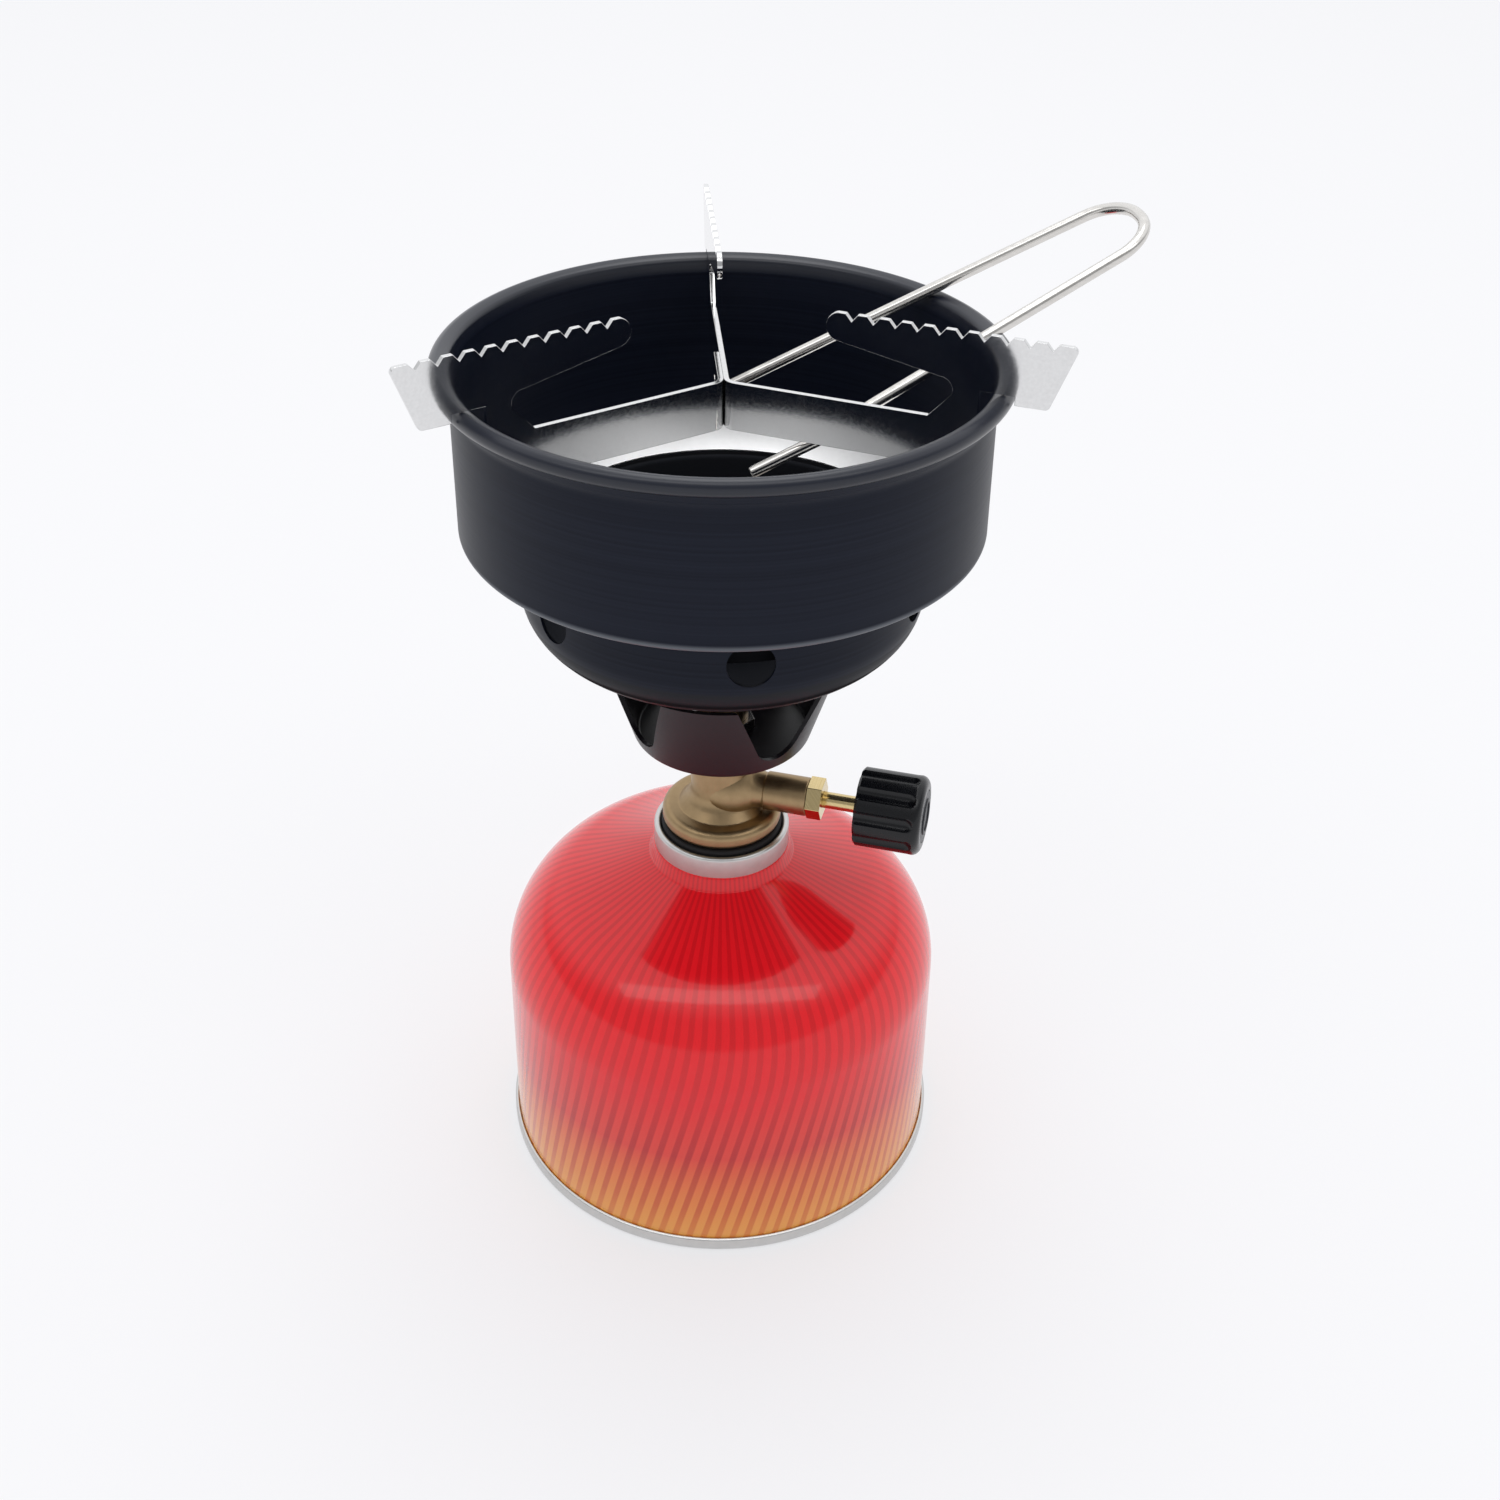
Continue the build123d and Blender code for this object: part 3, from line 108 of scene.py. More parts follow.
# Brass valve body
NOSE_RADIUS = 9.5 * MM
NOSE_ROUND = 0.4 * MM
SOCKET_RADIUS = 5.55 * MM
SOCKET_DEPTH = 6.8 * MM
BELL_RADIUS = 14.5 * MM
BELL_RIM = 1.6 * MM
BELL_HEIGHT = 7.6 * MM
BELL_BEAD = 4.6 * MM
BELL_WAIST_RADIUS = 10.6 * MM
BELL_WAIST_ROUND = 0.8 * MM
BOSS_RADIUS = 7.5 * MM
BOSS_ROUND = 0.5 * MM
NECK_RADIUS = 5.0 * MM
NECK_ROUND = 0.3 * MM
ARM_RADIUS = 4.4 * MM
ARM_END_RADIUS = 4.7 * MM
ARM_STEP = 11.2 * MM
ARM_STEP_SLOPE = 0.2 * MM
ARM_FLARE = 0.3 * MM
ARM_ROUND = 0.4 * MM
ELBOW_RADIUS = 8.0 * MM
ELBOW_REACH = 2.0 * MM
ELBOW_SWEEP = 135.0
ELBOW_STEPS = 24
ELBOW_LEAVE = 6.8 * MM            # how far past the elbow's centre the arm leaves it
SPINDLE_BORE = 2.05 * MM
SPINDLE_BORE_DEPTH = 4.0 * MM
NEEDLE_TIP_RADIUS = 0.5 * MM
NEEDLE_TAPER = 2.4 * MM

# Knob
KNOB_FLUTES = 10
FLUTE_RADIUS = 2.0 * MM
FLUTE_DEPTH = 1.0 * MM
FLUTE_END = 3.4 * MM
FLUTE_STEPS = 32
KNOB_ROWS = 48
KNOB_EDGE = 2.2 * MM
KNOB_BACK_EDGE = 0.6 * MM
KNOB_RECESS = 6.45 * MM
KNOB_GRIP = 10.05 * MM
KNOB_CAP_SHEET = 1.05 * MM
KNOB_CAP_ROUND = 0.25 * MM
KNOB_RING_RADIUS = 4.0 * MM
KNOB_RING_WIDTH = 0.8 * MM
KNOB_RING_HEIGHT = 0.4 * MM
KNOB_RING_ROUND = 0.2 * MM

# Air shroud and lower dish
SHROUD_SHEET = 1.2 * MM
SHROUD_RADIUS = 20.9 * MM
SHROUD_CORNER = 0.8 * MM
SHROUD_FLARE = 0.323
SHROUD_HOLE = 5.05 * MM
SHROUD_EASE = 0.25 * MM
ARCH_AZIMUTHS = (-40.5, 49.5, 139.5, 229.5)
ARCH_RISE = 3.9 * MM
ARCH_END_RADIUS = 6.0 * MM
ARCH_WIDTH = 26.6 * MM
ARCH_STEPS = 24
DISH_SHEET = 0.7 * MM
DISH_RADIUS = 46.1 * MM
DISH_CORNER = 13.1 * MM
DISH_HOLE = 6.25 * MM
DISH_EASE = 0.15 * MM
AIR_HOLES = 6
AIR_HOLE_AZIMUTH = -7.1
AIR_HOLE_RADIUS = 5.2 * MM
AIR_HOLE_RISE = 17.1 * MM
AIR_HOLE_STEPS = 48

# Windscreen bowl
BOWL_SHEET = 0.8 * MM
BOWL_CORNER = 1.4 * MM
BOWL_FLOOR_ROUND = 1.2 * MM
BOWL_DEPTH = 39.4 * MM
LIP_STAND_OUT = 4.1 * MM
LIP_BEAD = 2.0 * MM
LIP_UNDER_ROUND = 1.0 * MM
LIP_FLARE_DROP = 5.2 * MM
LIP_FLARE_ROUND = 3.5 * MM
LIP_FALL = (0.6 * MM, 0.9 * MM)   # how far in and down the lip's inner slope starts
LIP_FALL_ROUND = 1.6 * MM
LIP_INNER_ROUND = 2.0 * MM
LIP_STEPS = 24
FLOOR_SLOPE = math.radians(22.0)
THROAT_CLEARANCE = 2.4 * MM
THROAT_RADIUS = DISH_RADIUS - DISH_SHEET - THROAT_CLEARANCE - BOWL_SHEET
THROAT_BEND = 0.8 * MM
LIP_SHINE_DROP = (4.78 * MM, 2.28 * MM)                # down from the bowl's top
EDGE_HIGHLIGHT_BAND = (-0.6 * MM, 0.0, 0.5 * MM, 1.6 * MM)       # painted highlight, over the bowl's lower edge
EDGE_HIGHLIGHT_INSET = (2.4 * MM, 0.9 * MM)                      # in from the bowl's wall, for the painted highlight
DISH_INSIDE_INSET = (0.3 * MM, 0.6 * MM)               # in from the dish's wall
DISH_INSIDE_DROP = 4.0 * MM
THROAT_SHADE_BAND = (0.3 * MM, 0.6 * MM, 1.2 * MM, 2.4 * MM)   # painted shade, out from the throat's inner face
REFLECTOR_INSET = 0.6 * MM
REFLECTOR_SHEET = 0.3 * MM
SLIP = 0.05 * MM                  # gap between pieces that fit together

# Wire handle
WIRE_RADIUS = 1.35 * MM
WIRE_REST = 0.5 * MM
HANDLE_CONTACT_AZIMUTHS = (23.33, 49.97)
HANDLE_AZIMUTH = 26.03
HANDLE_RISE = math.radians(26.6)
HANDLE_BANK = math.radians(4.40)
LEG_TAPER = 0.0933
LOOP_REACH = 41.5 * MM
LOOP_CORNER = 10.4 * MM
LEG_END_REACH = -58.0 * MM
FOOT_START_REACH = -30.0 * MM
FOOT_KNEE_REACH = -44.0 * MM
FOOT_KNEE_SPREAD = 1.0 * MM
FOOT_END_REACH = -60.5 * MM
FOOT_END_SPREAD = -1.6 * MM
WIRE_END_EASE = 0.35 * MM
WIRE_END_ANGLE = 60.0
WIRE_ROUND = 24
BEND_STEPS = 16

# Pot support welds, and edges to ease
REAR_AZIMUTH = 109.5
WELD_REACHES = (6.5 * MM, 13.0 * MM)
WELD_RADIUS = 1.3 * MM
WELD_HEIGHT = 0.25 * MM
WELD_RINGS = 10
SUPPORT_SHEET = 1.2 * MM
STRIP_WIDTH = 11.1 * MM
HARDWARE_EASE = {
    "gland_nut": 0.35 * MM, "gas_jet": 0.15 * MM, "shroud_nut": 0.4 * MM, "mixing_tube": 0.2 * MM,
    "dish_nut": 0.4 * MM, "burner_head": 0.2 * MM, "burner_cap": 0.3 * MM, "burner_nut": 0.5 * MM,
    "burner_stud": 0.3 * MM, "support_pair_sheet": 0.12 * MM, "support_single_sheet": 0.12 * MM,
}

# Camera and light
CAMERA_PLACE = (98.57 * MM, -356.17 * MM, 369.0 * MM)
CAMERA_AIM = (-0.2162, 0.8360, -0.5044)
CAMERA_ROLL = 0.0137
CAMERA_LENS = 44.66
CAMERA_SHIFT = -0.1
CAMERA_SENSOR = 36.0
CAMERA_NEAR = 10.0 * MM
FLOOR_SIZE = 12.0
FLOOR_DROP = 0.2 * MM
FLOOR_WHITE = 0.6                 # share of plain white in what is seen of the floor
SKY_LIGHT = 1.1
SKY_LOW = 0.42
SKY_BAND = (0.28, 0.72)           # heights between which the sky brightens
SKY_LEAN = (-0.11, 0.44)          # how far those heights lean, across and along
BACKDROP_WHITE = 0.95
BACKDROP_TOP = (0.14, 0.28)       # heights between which the white backdrop fades into the sky
LAMP_AIM = (0.0, 0.0, 0.15)
LAMPS = {                         # place, width, depth, power
    "top_softbox": ((-0.17, 0.66, 2.5), 1.5, 1.5, 16.0),
    "front_softbox": ((0.16, -0.61, 1.5), 2.8, 0.4, 5.0),
}


def low(node):
    """The height of a frame node's lowest point."""
    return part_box(node)[0].z


def high(node):
    """The height of a frame node's highest point."""
    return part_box(node)[1].z


def reach(node):
    """How far a frame node stretches along +X, which is the radius of a turned one."""
    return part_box(node)[1].x


def half_width(node):
    """Half of a frame node's width along Y."""
    lowest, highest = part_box(node)
    return (highest.y - lowest.y) / 2


def mid_height(node):
    """The height of a frame node's middle."""
    return (low(node) + high(node)) / 2


def polar(radius, azimuth, height=0.0):
    """A point at a distance from the stove's axis, at an azimuth in degrees."""
    turn = math.radians(azimuth)
    return Vector((radius * math.cos(turn), radius * math.sin(turn), height))


# Meshes

def smooth(mesh, angle=EDGE_ANGLE):
    """Shade a mesh smooth apart from its real edges."""
    for polygon in mesh.polygons:
        polygon.use_smooth = True
    mesh.set_sharp_from_angle(angle=math.radians(angle))


def new_piece(name, mesh):
    """A scene object for a mesh, at the origin."""
    piece = bpy.data.objects.new(name, mesh)
    bpy.context.scene.collection.objects.link(piece)
    return piece


def settle(piece):
    """Turn a piece's modifiers into plain mesh."""
    bpy.context.view_layer.update()
    graph = bpy.context.evaluated_depsgraph_get()
    mesh = bpy.data.meshes.new_from_object(piece.evaluated_get(graph))
    piece.modifiers.clear()
    piece.data = mesh
    return piece


def arc(centre, radius, start, stop, steps=12):
    """Points of a circular arc in an outline, angles in degrees."""
    points = []
    for step in range(steps + 1):
        turn = math.radians(start + (stop - start) * step / steps)
        points.append((centre[0] + radius * math.cos(turn), centre[1] + radius * math.sin(turn)))
    return points


def rounded(corners, steps=6):
    """An outline of (radius, height) or (radius, height, rounding) corners, with arcs at the last kind."""
    points = []
    count = len(corners)
    for index, corner in enumerate(corners):
        here = Vector(corner[:2])
        rounding = corner[2] if len(corner) > 2 else 0.0
        if rounding <= 0:
            points.append(tuple(here))
            continue
        before = Vector(corners[index - 1][:2]) - here
        after = Vector(corners[(index + 1) % count][:2]) - here
        half = before.angle(after) / 2
        leave = rounding / math.tan(half)
        for side, other in ((before, corners[index - 1]), (after, corners[(index + 1) % count])):
            leave = min(leave, side.length * (SHARED_SIDE if len(other) > 2 else OWN_SIDE))
        first = here + before.normalized() * leave
        last = here + after.normalized() * leave
        middle = here + (before.normalized() + after.normalized()).normalized() * leave / math.cos(half)
        size = leave * math.tan(half)
        start = first - middle
        stop = last - middle
        sweep = start.angle(stop)
        for step in range(steps + 1):
            turn = sweep * step / steps
            way = start * math.sin(sweep - turn) + stop * math.sin(turn)
            points.append(tuple(middle + way.normalized() * size))
    return points


def skin(bm, rings):
    """Faces from each ring of points to the next, where a ring of one point is a tip."""
    for ring, other in zip(rings, rings[1:]):
        steps = max(len(ring), len(other))
        if steps == 1:
            continue
        for step in range(steps):
            ahead = (step + 1) % steps
            if len(ring) == 1:
                bm.faces.new((ring[0], other[step], other[ahead]))
            elif len(other) == 1:
                bm.faces.new((ring[ahead], ring[step], other[0]))
            else:
                bm.faces.new((ring[ahead], ring[step], other[step], other[ahead]))


def piece_from(bm, name):
    """A piece from a finished bmesh, with its faces turned outwards."""
    bmesh.ops.recalc_face_normals(bm, faces=bm.faces)
    mesh = bpy.data.meshes.new(name)
    bm.to_mesh(mesh)
    bm.free()
    return new_piece(name, mesh)


def turned(name, outline, steps=ROUND, along_x_at=None, angle=EDGE_ANGLE):
    """A closed outline of (radius, height) points turned about +Z, or about a line along +X."""
    bm = bmesh.new()
    rings = []
    for radius, height in outline:
        ring = []
        for step in range(steps if radius > TIP_RADIUS else 1):
            turn = 2 * math.pi * step / steps
            u, v = radius * math.cos(turn), radius * math.sin(turn)
            place = (u, v, height) if along_x_at is None else (height, u, along_x_at + v)
            ring.append(bm.verts.new(place))
        rings.append(ring)
    skin(bm, rings + rings[:1])
    piece = piece_from(bm, name)
    smooth(piece.data, angle)
    return piece


def prism(name, outline, azimuth, start, stop):
    """An upright outline pushed outwards along an azimuth from start to stop, used as a cutter."""
    out = polar(1.0, azimuth)
    across = polar(1.0, azimuth + 90)
    bm = bmesh.new()
    ends = []
    for depth in (start, stop):
        ends.append([bm.verts.new(out * depth + across * u + UP * v) for u, v in outline])
    bm.faces.new(ends[0])
    bm.faces.new(ends[1])
    skin(bm, ends)
    return piece_from(bm, name)


def cut(piece, cutters):
    """Take the cutters out of a piece and drop them."""
    for cutter in cutters:
        modifier = piece.modifiers.new("cut", "BOOLEAN")
        modifier.operation = "DIFFERENCE"
        modifier.solver = "EXACT"
        modifier.object = cutter
    settle(piece)
    for cutter in cutters:
        bpy.data.objects.remove(cutter)
    return piece


def ease_edges(piece, width, angle=EASED_ANGLE):
    """Round a piece's sharp edges by a small width."""
    modifier = piece.modifiers.new("edges", "BEVEL")
    modifier.width = width
    modifier.segments = 2
    modifier.limit_method = "ANGLE"
    modifier.angle_limit = math.radians(angle)
    modifier.use_clamp_overlap = True
    settle(piece)
    smooth(piece.data)
    normals = piece.modifiers.new("normals", "WEIGHTED_NORMAL")
    normals.keep_sharp = True
    return settle(piece)


def refined(node, width):
    """A copy of a frame node's solid with its flat faces joined up and its edges eased."""
    source = frame["nodes"][node].data
    bm = bmesh.new()
    verts = [bm.verts.new(v.co) for v in source.vertices]
    for polygon in source.polygons:
        bm.faces.new([verts[i] for i in polygon.vertices])
    bmesh.ops.remove_doubles(bm, verts=bm.verts, dist=MERGE_DISTANCE)
    bmesh.ops.dissolve_limit(bm, angle_limit=FLAT_ANGLE, verts=bm.verts, edges=bm.edges)
    mesh = bpy.data.meshes.new(node)
    bm.to_mesh(mesh)
    bm.free()
    smooth(mesh)
    return ease_edges(new_piece("dressed_" + node, mesh), width)


# Node groups for what follows a path or repeats

class Tree:
    """A Geometry Nodes tree that ends in Realize Instances and Set Material."""

    def __init__(self, name, inputs):
        self.group = bpy.data.node_groups.new(name, "GeometryNodeTree")
        self.group.interface.new_socket("Geometry", in_out="INPUT", socket_type="NodeSocketGeometry")
        for label, kind in inputs.items():
            self.group.interface.new_socket(label, in_out="INPUT", socket_type=kind)
        self.group.interface.new_socket("Geometry", in_out="OUTPUT", socket_type="NodeSocketGeometry")
        self.source = self.group.nodes.new("NodeGroupInput")

    def given(self, label):
        """The tree's own input of that name."""
        return self.source.outputs[label]

    def node(self, kind, settings=None, inputs=None):
        """Add a node: its settings first, then values or links for its sockets."""
        made = self.group.nodes.new(kind)
        for key, value in (settings or {}).items():
            setattr(made, key, value)
        for key, value in (inputs or {}).items():
            if isinstance(value, bpy.types.NodeSocket):
                self.group.links.new(value, made.inputs[key])
            else:
                made.inputs[key].default_value = value
        return made

    def close(self, geometry, material):
        """Realize the result, give it its material and send it out."""
        real = self.node("GeometryNodeRealizeInstances", inputs={"Geometry": geometry})
        shaded = self.node(
            "GeometryNodeSetMaterial",
            inputs={"Geometry": real.outputs[0], "Material": material},
        )
        out = self.group.nodes.new("NodeGroupOutput")
        self.group.links.new(shaded.outputs[0], out.inputs[0])

    def run(self, piece, values):
        """Run the tree on a piece with values for its inputs, and keep the plain mesh."""
        modifier = piece.modifiers.new("tree", "NODES")
        modifier.node_group = self.group
        for item in self.group.interface.items_tree:
            if item.item_type == "SOCKET" and item.in_out == "INPUT" and item.name in values:
                modifier[item.identifier] = values[item.name]
        return settle(piece)


def wire_tree(material):
    """A round wire along a path of straight runs, with its corners bent to a radius."""
    tree = Tree("bent_wire", {"Wire radius": "NodeSocketFloat", "Bend radius": "NodeSocketFloat"})
    curve = tree.node("GeometryNodeMeshToCurve", inputs={"Mesh": tree.given("Geometry")})
    bent = tree.node(
        "GeometryNodeFilletCurve",
        {"mode": "POLY"},
        {
            "Curve": curve.outputs[0],
            "Count": BEND_STEPS,
            "Radius": tree.given("Bend radius"),
            "Limit Radius": True,
        },
    )
    ring = tree.node(
        "GeometryNodeCurvePrimitiveCircle",
        inputs={"Resolution": WIRE_ROUND, "Radius": tree.given("Wire radius")},
    )
    tube = tree.node(
        "GeometryNodeCurveToMesh",
        inputs={"Curve": bent.outputs[0], "Profile Curve": ring.outputs[0], "Fill Caps": True},
    )
    shaded = tree.node("GeometryNodeSetShadeSmooth", inputs={"Geometry": tube.outputs[0]})
    tree.close(shaded.outputs[0], material)
    return tree


def weld_tree(material):
    """A shallow round button on each point, turned to face away from the sheet."""
    sizes = {"Button radius": "NodeSocketFloat", "Button height": "NodeSocketFloat"}
    tree = Tree("weld_buttons", {**sizes, "Turn": "NodeSocketRotation"})
    dome = tree.node(
        "GeometryNodeMeshUVSphere",
        inputs={"Segments": 2 * WELD_RINGS, "Rings": WELD_RINGS, "Radius": tree.given("Button radius")},
    )
    flat = tree.node(
        "ShaderNodeMath",
        {"operation": "DIVIDE"},
        {0: tree.given("Button height"), 1: tree.given("Button radius")},
    )
    scale = tree.node("ShaderNodeCombineXYZ", inputs={"X": 1.0, "Y": 1.0, "Z": flat.outputs[0]})
    button = tree.node(
        "GeometryNodeTransform", inputs={"Geometry": dome.outputs["Mesh"], "Scale": scale.outputs[0]}
    )
    placed = tree.node(
        "GeometryNodeInstanceOnPoints",
        inputs={
            "Points": tree.given("Geometry"),
            "Instance": button.outputs[0],
            "Rotation": tree.given("Turn"),
        },
    )
    shaded = tree.node("GeometryNodeSetShadeSmooth", inputs={"Geometry": placed.outputs[0]})
    tree.close(shaded.outputs[0], material)
    return tree


# Materials

class Signal:
    """One value in a material's tree. Arithmetic on signals adds Math nodes."""

    def __init__(self, tree, socket):
        self.tree = tree
        self.socket = socket

    def node(self, kind, settings=None, inputs=None, output=0):
        """Add a node: its settings first, then values or links for its sockets."""
        made = self.tree.nodes.new(kind)
        for key, value in (settings or {}).items():
            if key == "stops":
                set_stops(made.color_ramp, value)
            else:
                setattr(made, key, value)
        for key, value in (inputs or {}).items():
            if isinstance(value, Signal):
                self.tree.links.new(value.socket, made.inputs[key])
            else:
                made.inputs[key].default_value = value
        return Signal(self.tree, made.outputs[output])

    def maths(self, operation, first, second=0.0):
        """A Math node on two values."""
        return self.node("ShaderNodeMath", {"operation": operation}, {0: first, 1: second})

    def __add__(self, other):
        return self.maths("ADD", self, other)

    def __radd__(self, other):
        return self.maths("ADD", other, self)

    def __sub__(self, other):
        return self.maths("SUBTRACT", self, other)

    def __rsub__(self, other):
        return self.maths("SUBTRACT", other, self)

    def __mul__(self, other):
        return self.maths("MULTIPLY", self, other)

    def __rmul__(self, other):
        return self.maths("MULTIPLY", other, self)

    def __truediv__(self, other):
        return self.maths("DIVIDE", self, other)

    def __rtruediv__(self, other):
        return self.maths("DIVIDE", other, self)

    def split(self):
        """The three parts of a vector."""
        parts = self.node("ShaderNodeSeparateXYZ", inputs={0: self}).socket.node.outputs
        return [Signal(self.tree, part) for part in parts]

    def step(self, start, stop, first=0.0, last=1.0):
        """A soft step from first to last as this value goes from start to stop."""
        inputs = {"Value": self, 1: start, 2: stop, 3: first, 4: last}
        return self.node("ShaderNodeMapRange", {"interpolation_type": "SMOOTHSTEP"}, inputs)

    def band(self, start, full, fall, stop):
        """1 from full to fall, fading out to 0 at start and at stop."""
        return self.step(start, full) * self.step(stop, fall)

    def mix(self, first, second):
        """A colour between two colours, by this value."""
        settings = {"data_type": "RGBA", "clamp_factor": True}
        return self.node("ShaderNodeMix", settings, {0: self, 6: first, 7: second}, 2)


def set_stops(ramp, stops):
    """Put (place, colour) stops on a colour ramp."""
    while len(ramp.elements) > 1:
        ramp.elements.remove(ramp.elements[-1])
    for index, (place, shade) in enumerate(stops):
        element = ramp.elements[0] if index == 0 else ramp.elements.new(place)
        element.position = place
        element.color = shade


class Finish:
    """A material on Object coordinates, with its main shader at hand."""

    def __init__(self, name, **fixed):
        self.material = bpy.data.materials.new(name)
        self.material.use_nodes = True
        self.tree = self.material.node_tree
        self.shader = self.tree.nodes["Principled BSDF"]
        for key, value in fixed.items():
            self.shader.inputs[key.replace("_", " ")].default_value = value
        coordinates = self.tree.nodes.new("ShaderNodeTexCoord")
        self.place = Signal(self.tree, coordinates.outputs["Object"])
        self.x, self.y, self.z = self.place.split()

    def radius(self):
        """Distance from the stove's axis."""
        square = self.x * self.x + self.y * self.y
        return square.maths("SQRT", square)

    def azimuth(self):
        """Angle round the stove's axis."""
        return self.x.maths("ARCTAN2", self.y, self.x)

    def noise(self, scale, detail=2.0, stretch=(1.0, 1.0, 1.0), roughness=0.5):
        """Fractal noise, with its grain stretched along the axes."""
        mapped = self.place.node("ShaderNodeMapping", inputs={"Vector": self.place, "Scale": stretch})
        inputs = {"Vector": mapped, "Scale": scale, "Detail": detail, "Roughness": roughness}
        return self.place.node("ShaderNodeTexNoise", {"noise_dimensions": "3D"}, inputs)

    def lines(self, value, scale, detail=2.0):
        """One-way noise that changes along a single value only, such as turning marks."""
        inputs = {"W": value, "Scale": scale, "Detail": detail}
        return self.place.node("ShaderNodeTexNoise", {"noise_dimensions": "1D"}, inputs)

    def feed(self, socket, value):
        """Link a value to one of the main shader's sockets."""
        self.tree.links.new(value.socket, self.shader.inputs[socket])

    def bump(self, height, strength, distance):
        """Fine relief on the surface."""
        made = self.place.node(
            "ShaderNodeBump", inputs={"Height": height, "Strength": strength, "Distance": distance}
        )
        self.feed("Normal", made)


def colour(red, green, blue):
    """A colour with full cover."""
    return (red, green, blue, 1.0)


def can_lacquer():
    """Red lacquer over tin, turning orange towards the foot, with fine printed rays."""
    finish = Finish(
        "can_lacquer", Roughness=0.2, Specular_IOR_Level=0.25, Coat_Weight=0.5, Coat_Roughness=0.08,
    )
    below = finish.z.maths("MAXIMUM", RAY_START - finish.z, 0.0)
    phase = finish.azimuth() * (RAYS / (2 * math.pi)) + below * below / (below + RAY_EASE) * RAY_LEAN
    ray = phase.maths("PINGPONG", phase, 0.5)
    rise_up = finish.z / SHOULDER_HEIGHT
    plain = ray.node("ShaderNodeValToRGB", {"stops": (
        (0.08, colour(0.88, 0.38, 0.075)), (0.25, colour(0.82, 0.26, 0.055)),
        (0.6, colour(0.76, 0.05, 0.035)), (0.95, colour(0.83, 0.009, 0.016)),
    )}, {"Fac": rise_up})
    dark = ray.node("ShaderNodeValToRGB", {"stops": (
        (0.08, colour(0.77, 0.24, 0.043)), (0.25, colour(0.64, 0.125, 0.032)),
        (0.6, colour(0.51, 0.018, 0.019)), (0.95, colour(0.67, 0.007, 0.013)),
    )}, {"Fac": rise_up})
    finish.feed("Base Color", ray.step(0.16, 0.28).mix(dark, plain))
    return finish.material


def tinplate():
    """Bare tinned steel with soft drawn grain."""
    finish = Finish("tinplate", Metallic=1.0)
    grain = finish.noise(500.0, 2.0)
    finish.feed("Base Color", grain.mix(colour(0.56, 0.56, 0.55), colour(0.66, 0.65, 0.64)))
    finish.feed("Roughness", grain * 0.1 + 0.28)
    return finish.material


def seal_rubber():
    """Dull black rubber."""
    finish = Finish("seal_rubber", Specular_IOR_Level=0.3)
    grain = finish.noise(2200.0, 2.0)
    finish.feed("Base Color", grain.mix(colour(0.006, 0.005, 0.006), colour(0.014, 0.012, 0.013)))
    finish.feed("Roughness", grain * 0.25 + 0.5)
    return finish.material


def aged_brass():
    """Cast brass gone brown, with a fine sandy skin."""
    finish = Finish("aged_brass", Metallic=1.0)
    tone = finish.noise(420.0, 2.0)
    sand = finish.noise(3200.0, 2.0)
    finish.feed("Base Color", tone.mix(colour(0.30, 0.205, 0.108), colour(0.44, 0.315, 0.175)))
    finish.feed("Roughness", tone * 0.12 + 0.32)
    finish.bump(sand, 0.3, 0.05 * MM)
    return finish.material


def machined_brass():
    """Freshly cut yellow brass."""
    finish = Finish("machined_brass", Metallic=1.0)
    marks = finish.lines(finish.x + finish.z, 2600.0)
    finish.feed("Base Color", marks.mix(colour(0.58, 0.44, 0.20), colour(0.80, 0.65, 0.36)))
    finish.feed("Roughness", marks * 0.14 + 0.14)
    return finish.material


def knob_plastic():
    """Glossy black moulded plastic."""
    finish = Finish("knob_plastic", Specular_IOR_Level=0.3, Coat_Weight=0.15, Coat_Roughness=0.1)
    grain = finish.noise(1800.0, 2.0)
    finish.feed("Base Color", grain.mix(colour(0.0030, 0.0034, 0.0050), colour(0.0045, 0.0050, 0.0070)))
    finish.feed("Roughness", grain * 0.12 + 0.22)
    return finish.material


def cap_plastic():
    """Dark grey satin plastic of the knob's end."""
    finish = Finish("cap_plastic", Specular_IOR_Level=0.5)
    grain = finish.noise(1800.0, 2.0)
    finish.feed("Base Color", grain.mix(colour(0.022, 0.024, 0.030), colour(0.032, 0.034, 0.040)))
    finish.feed("Roughness", grain * 0.1 + 0.34)
    return finish.material


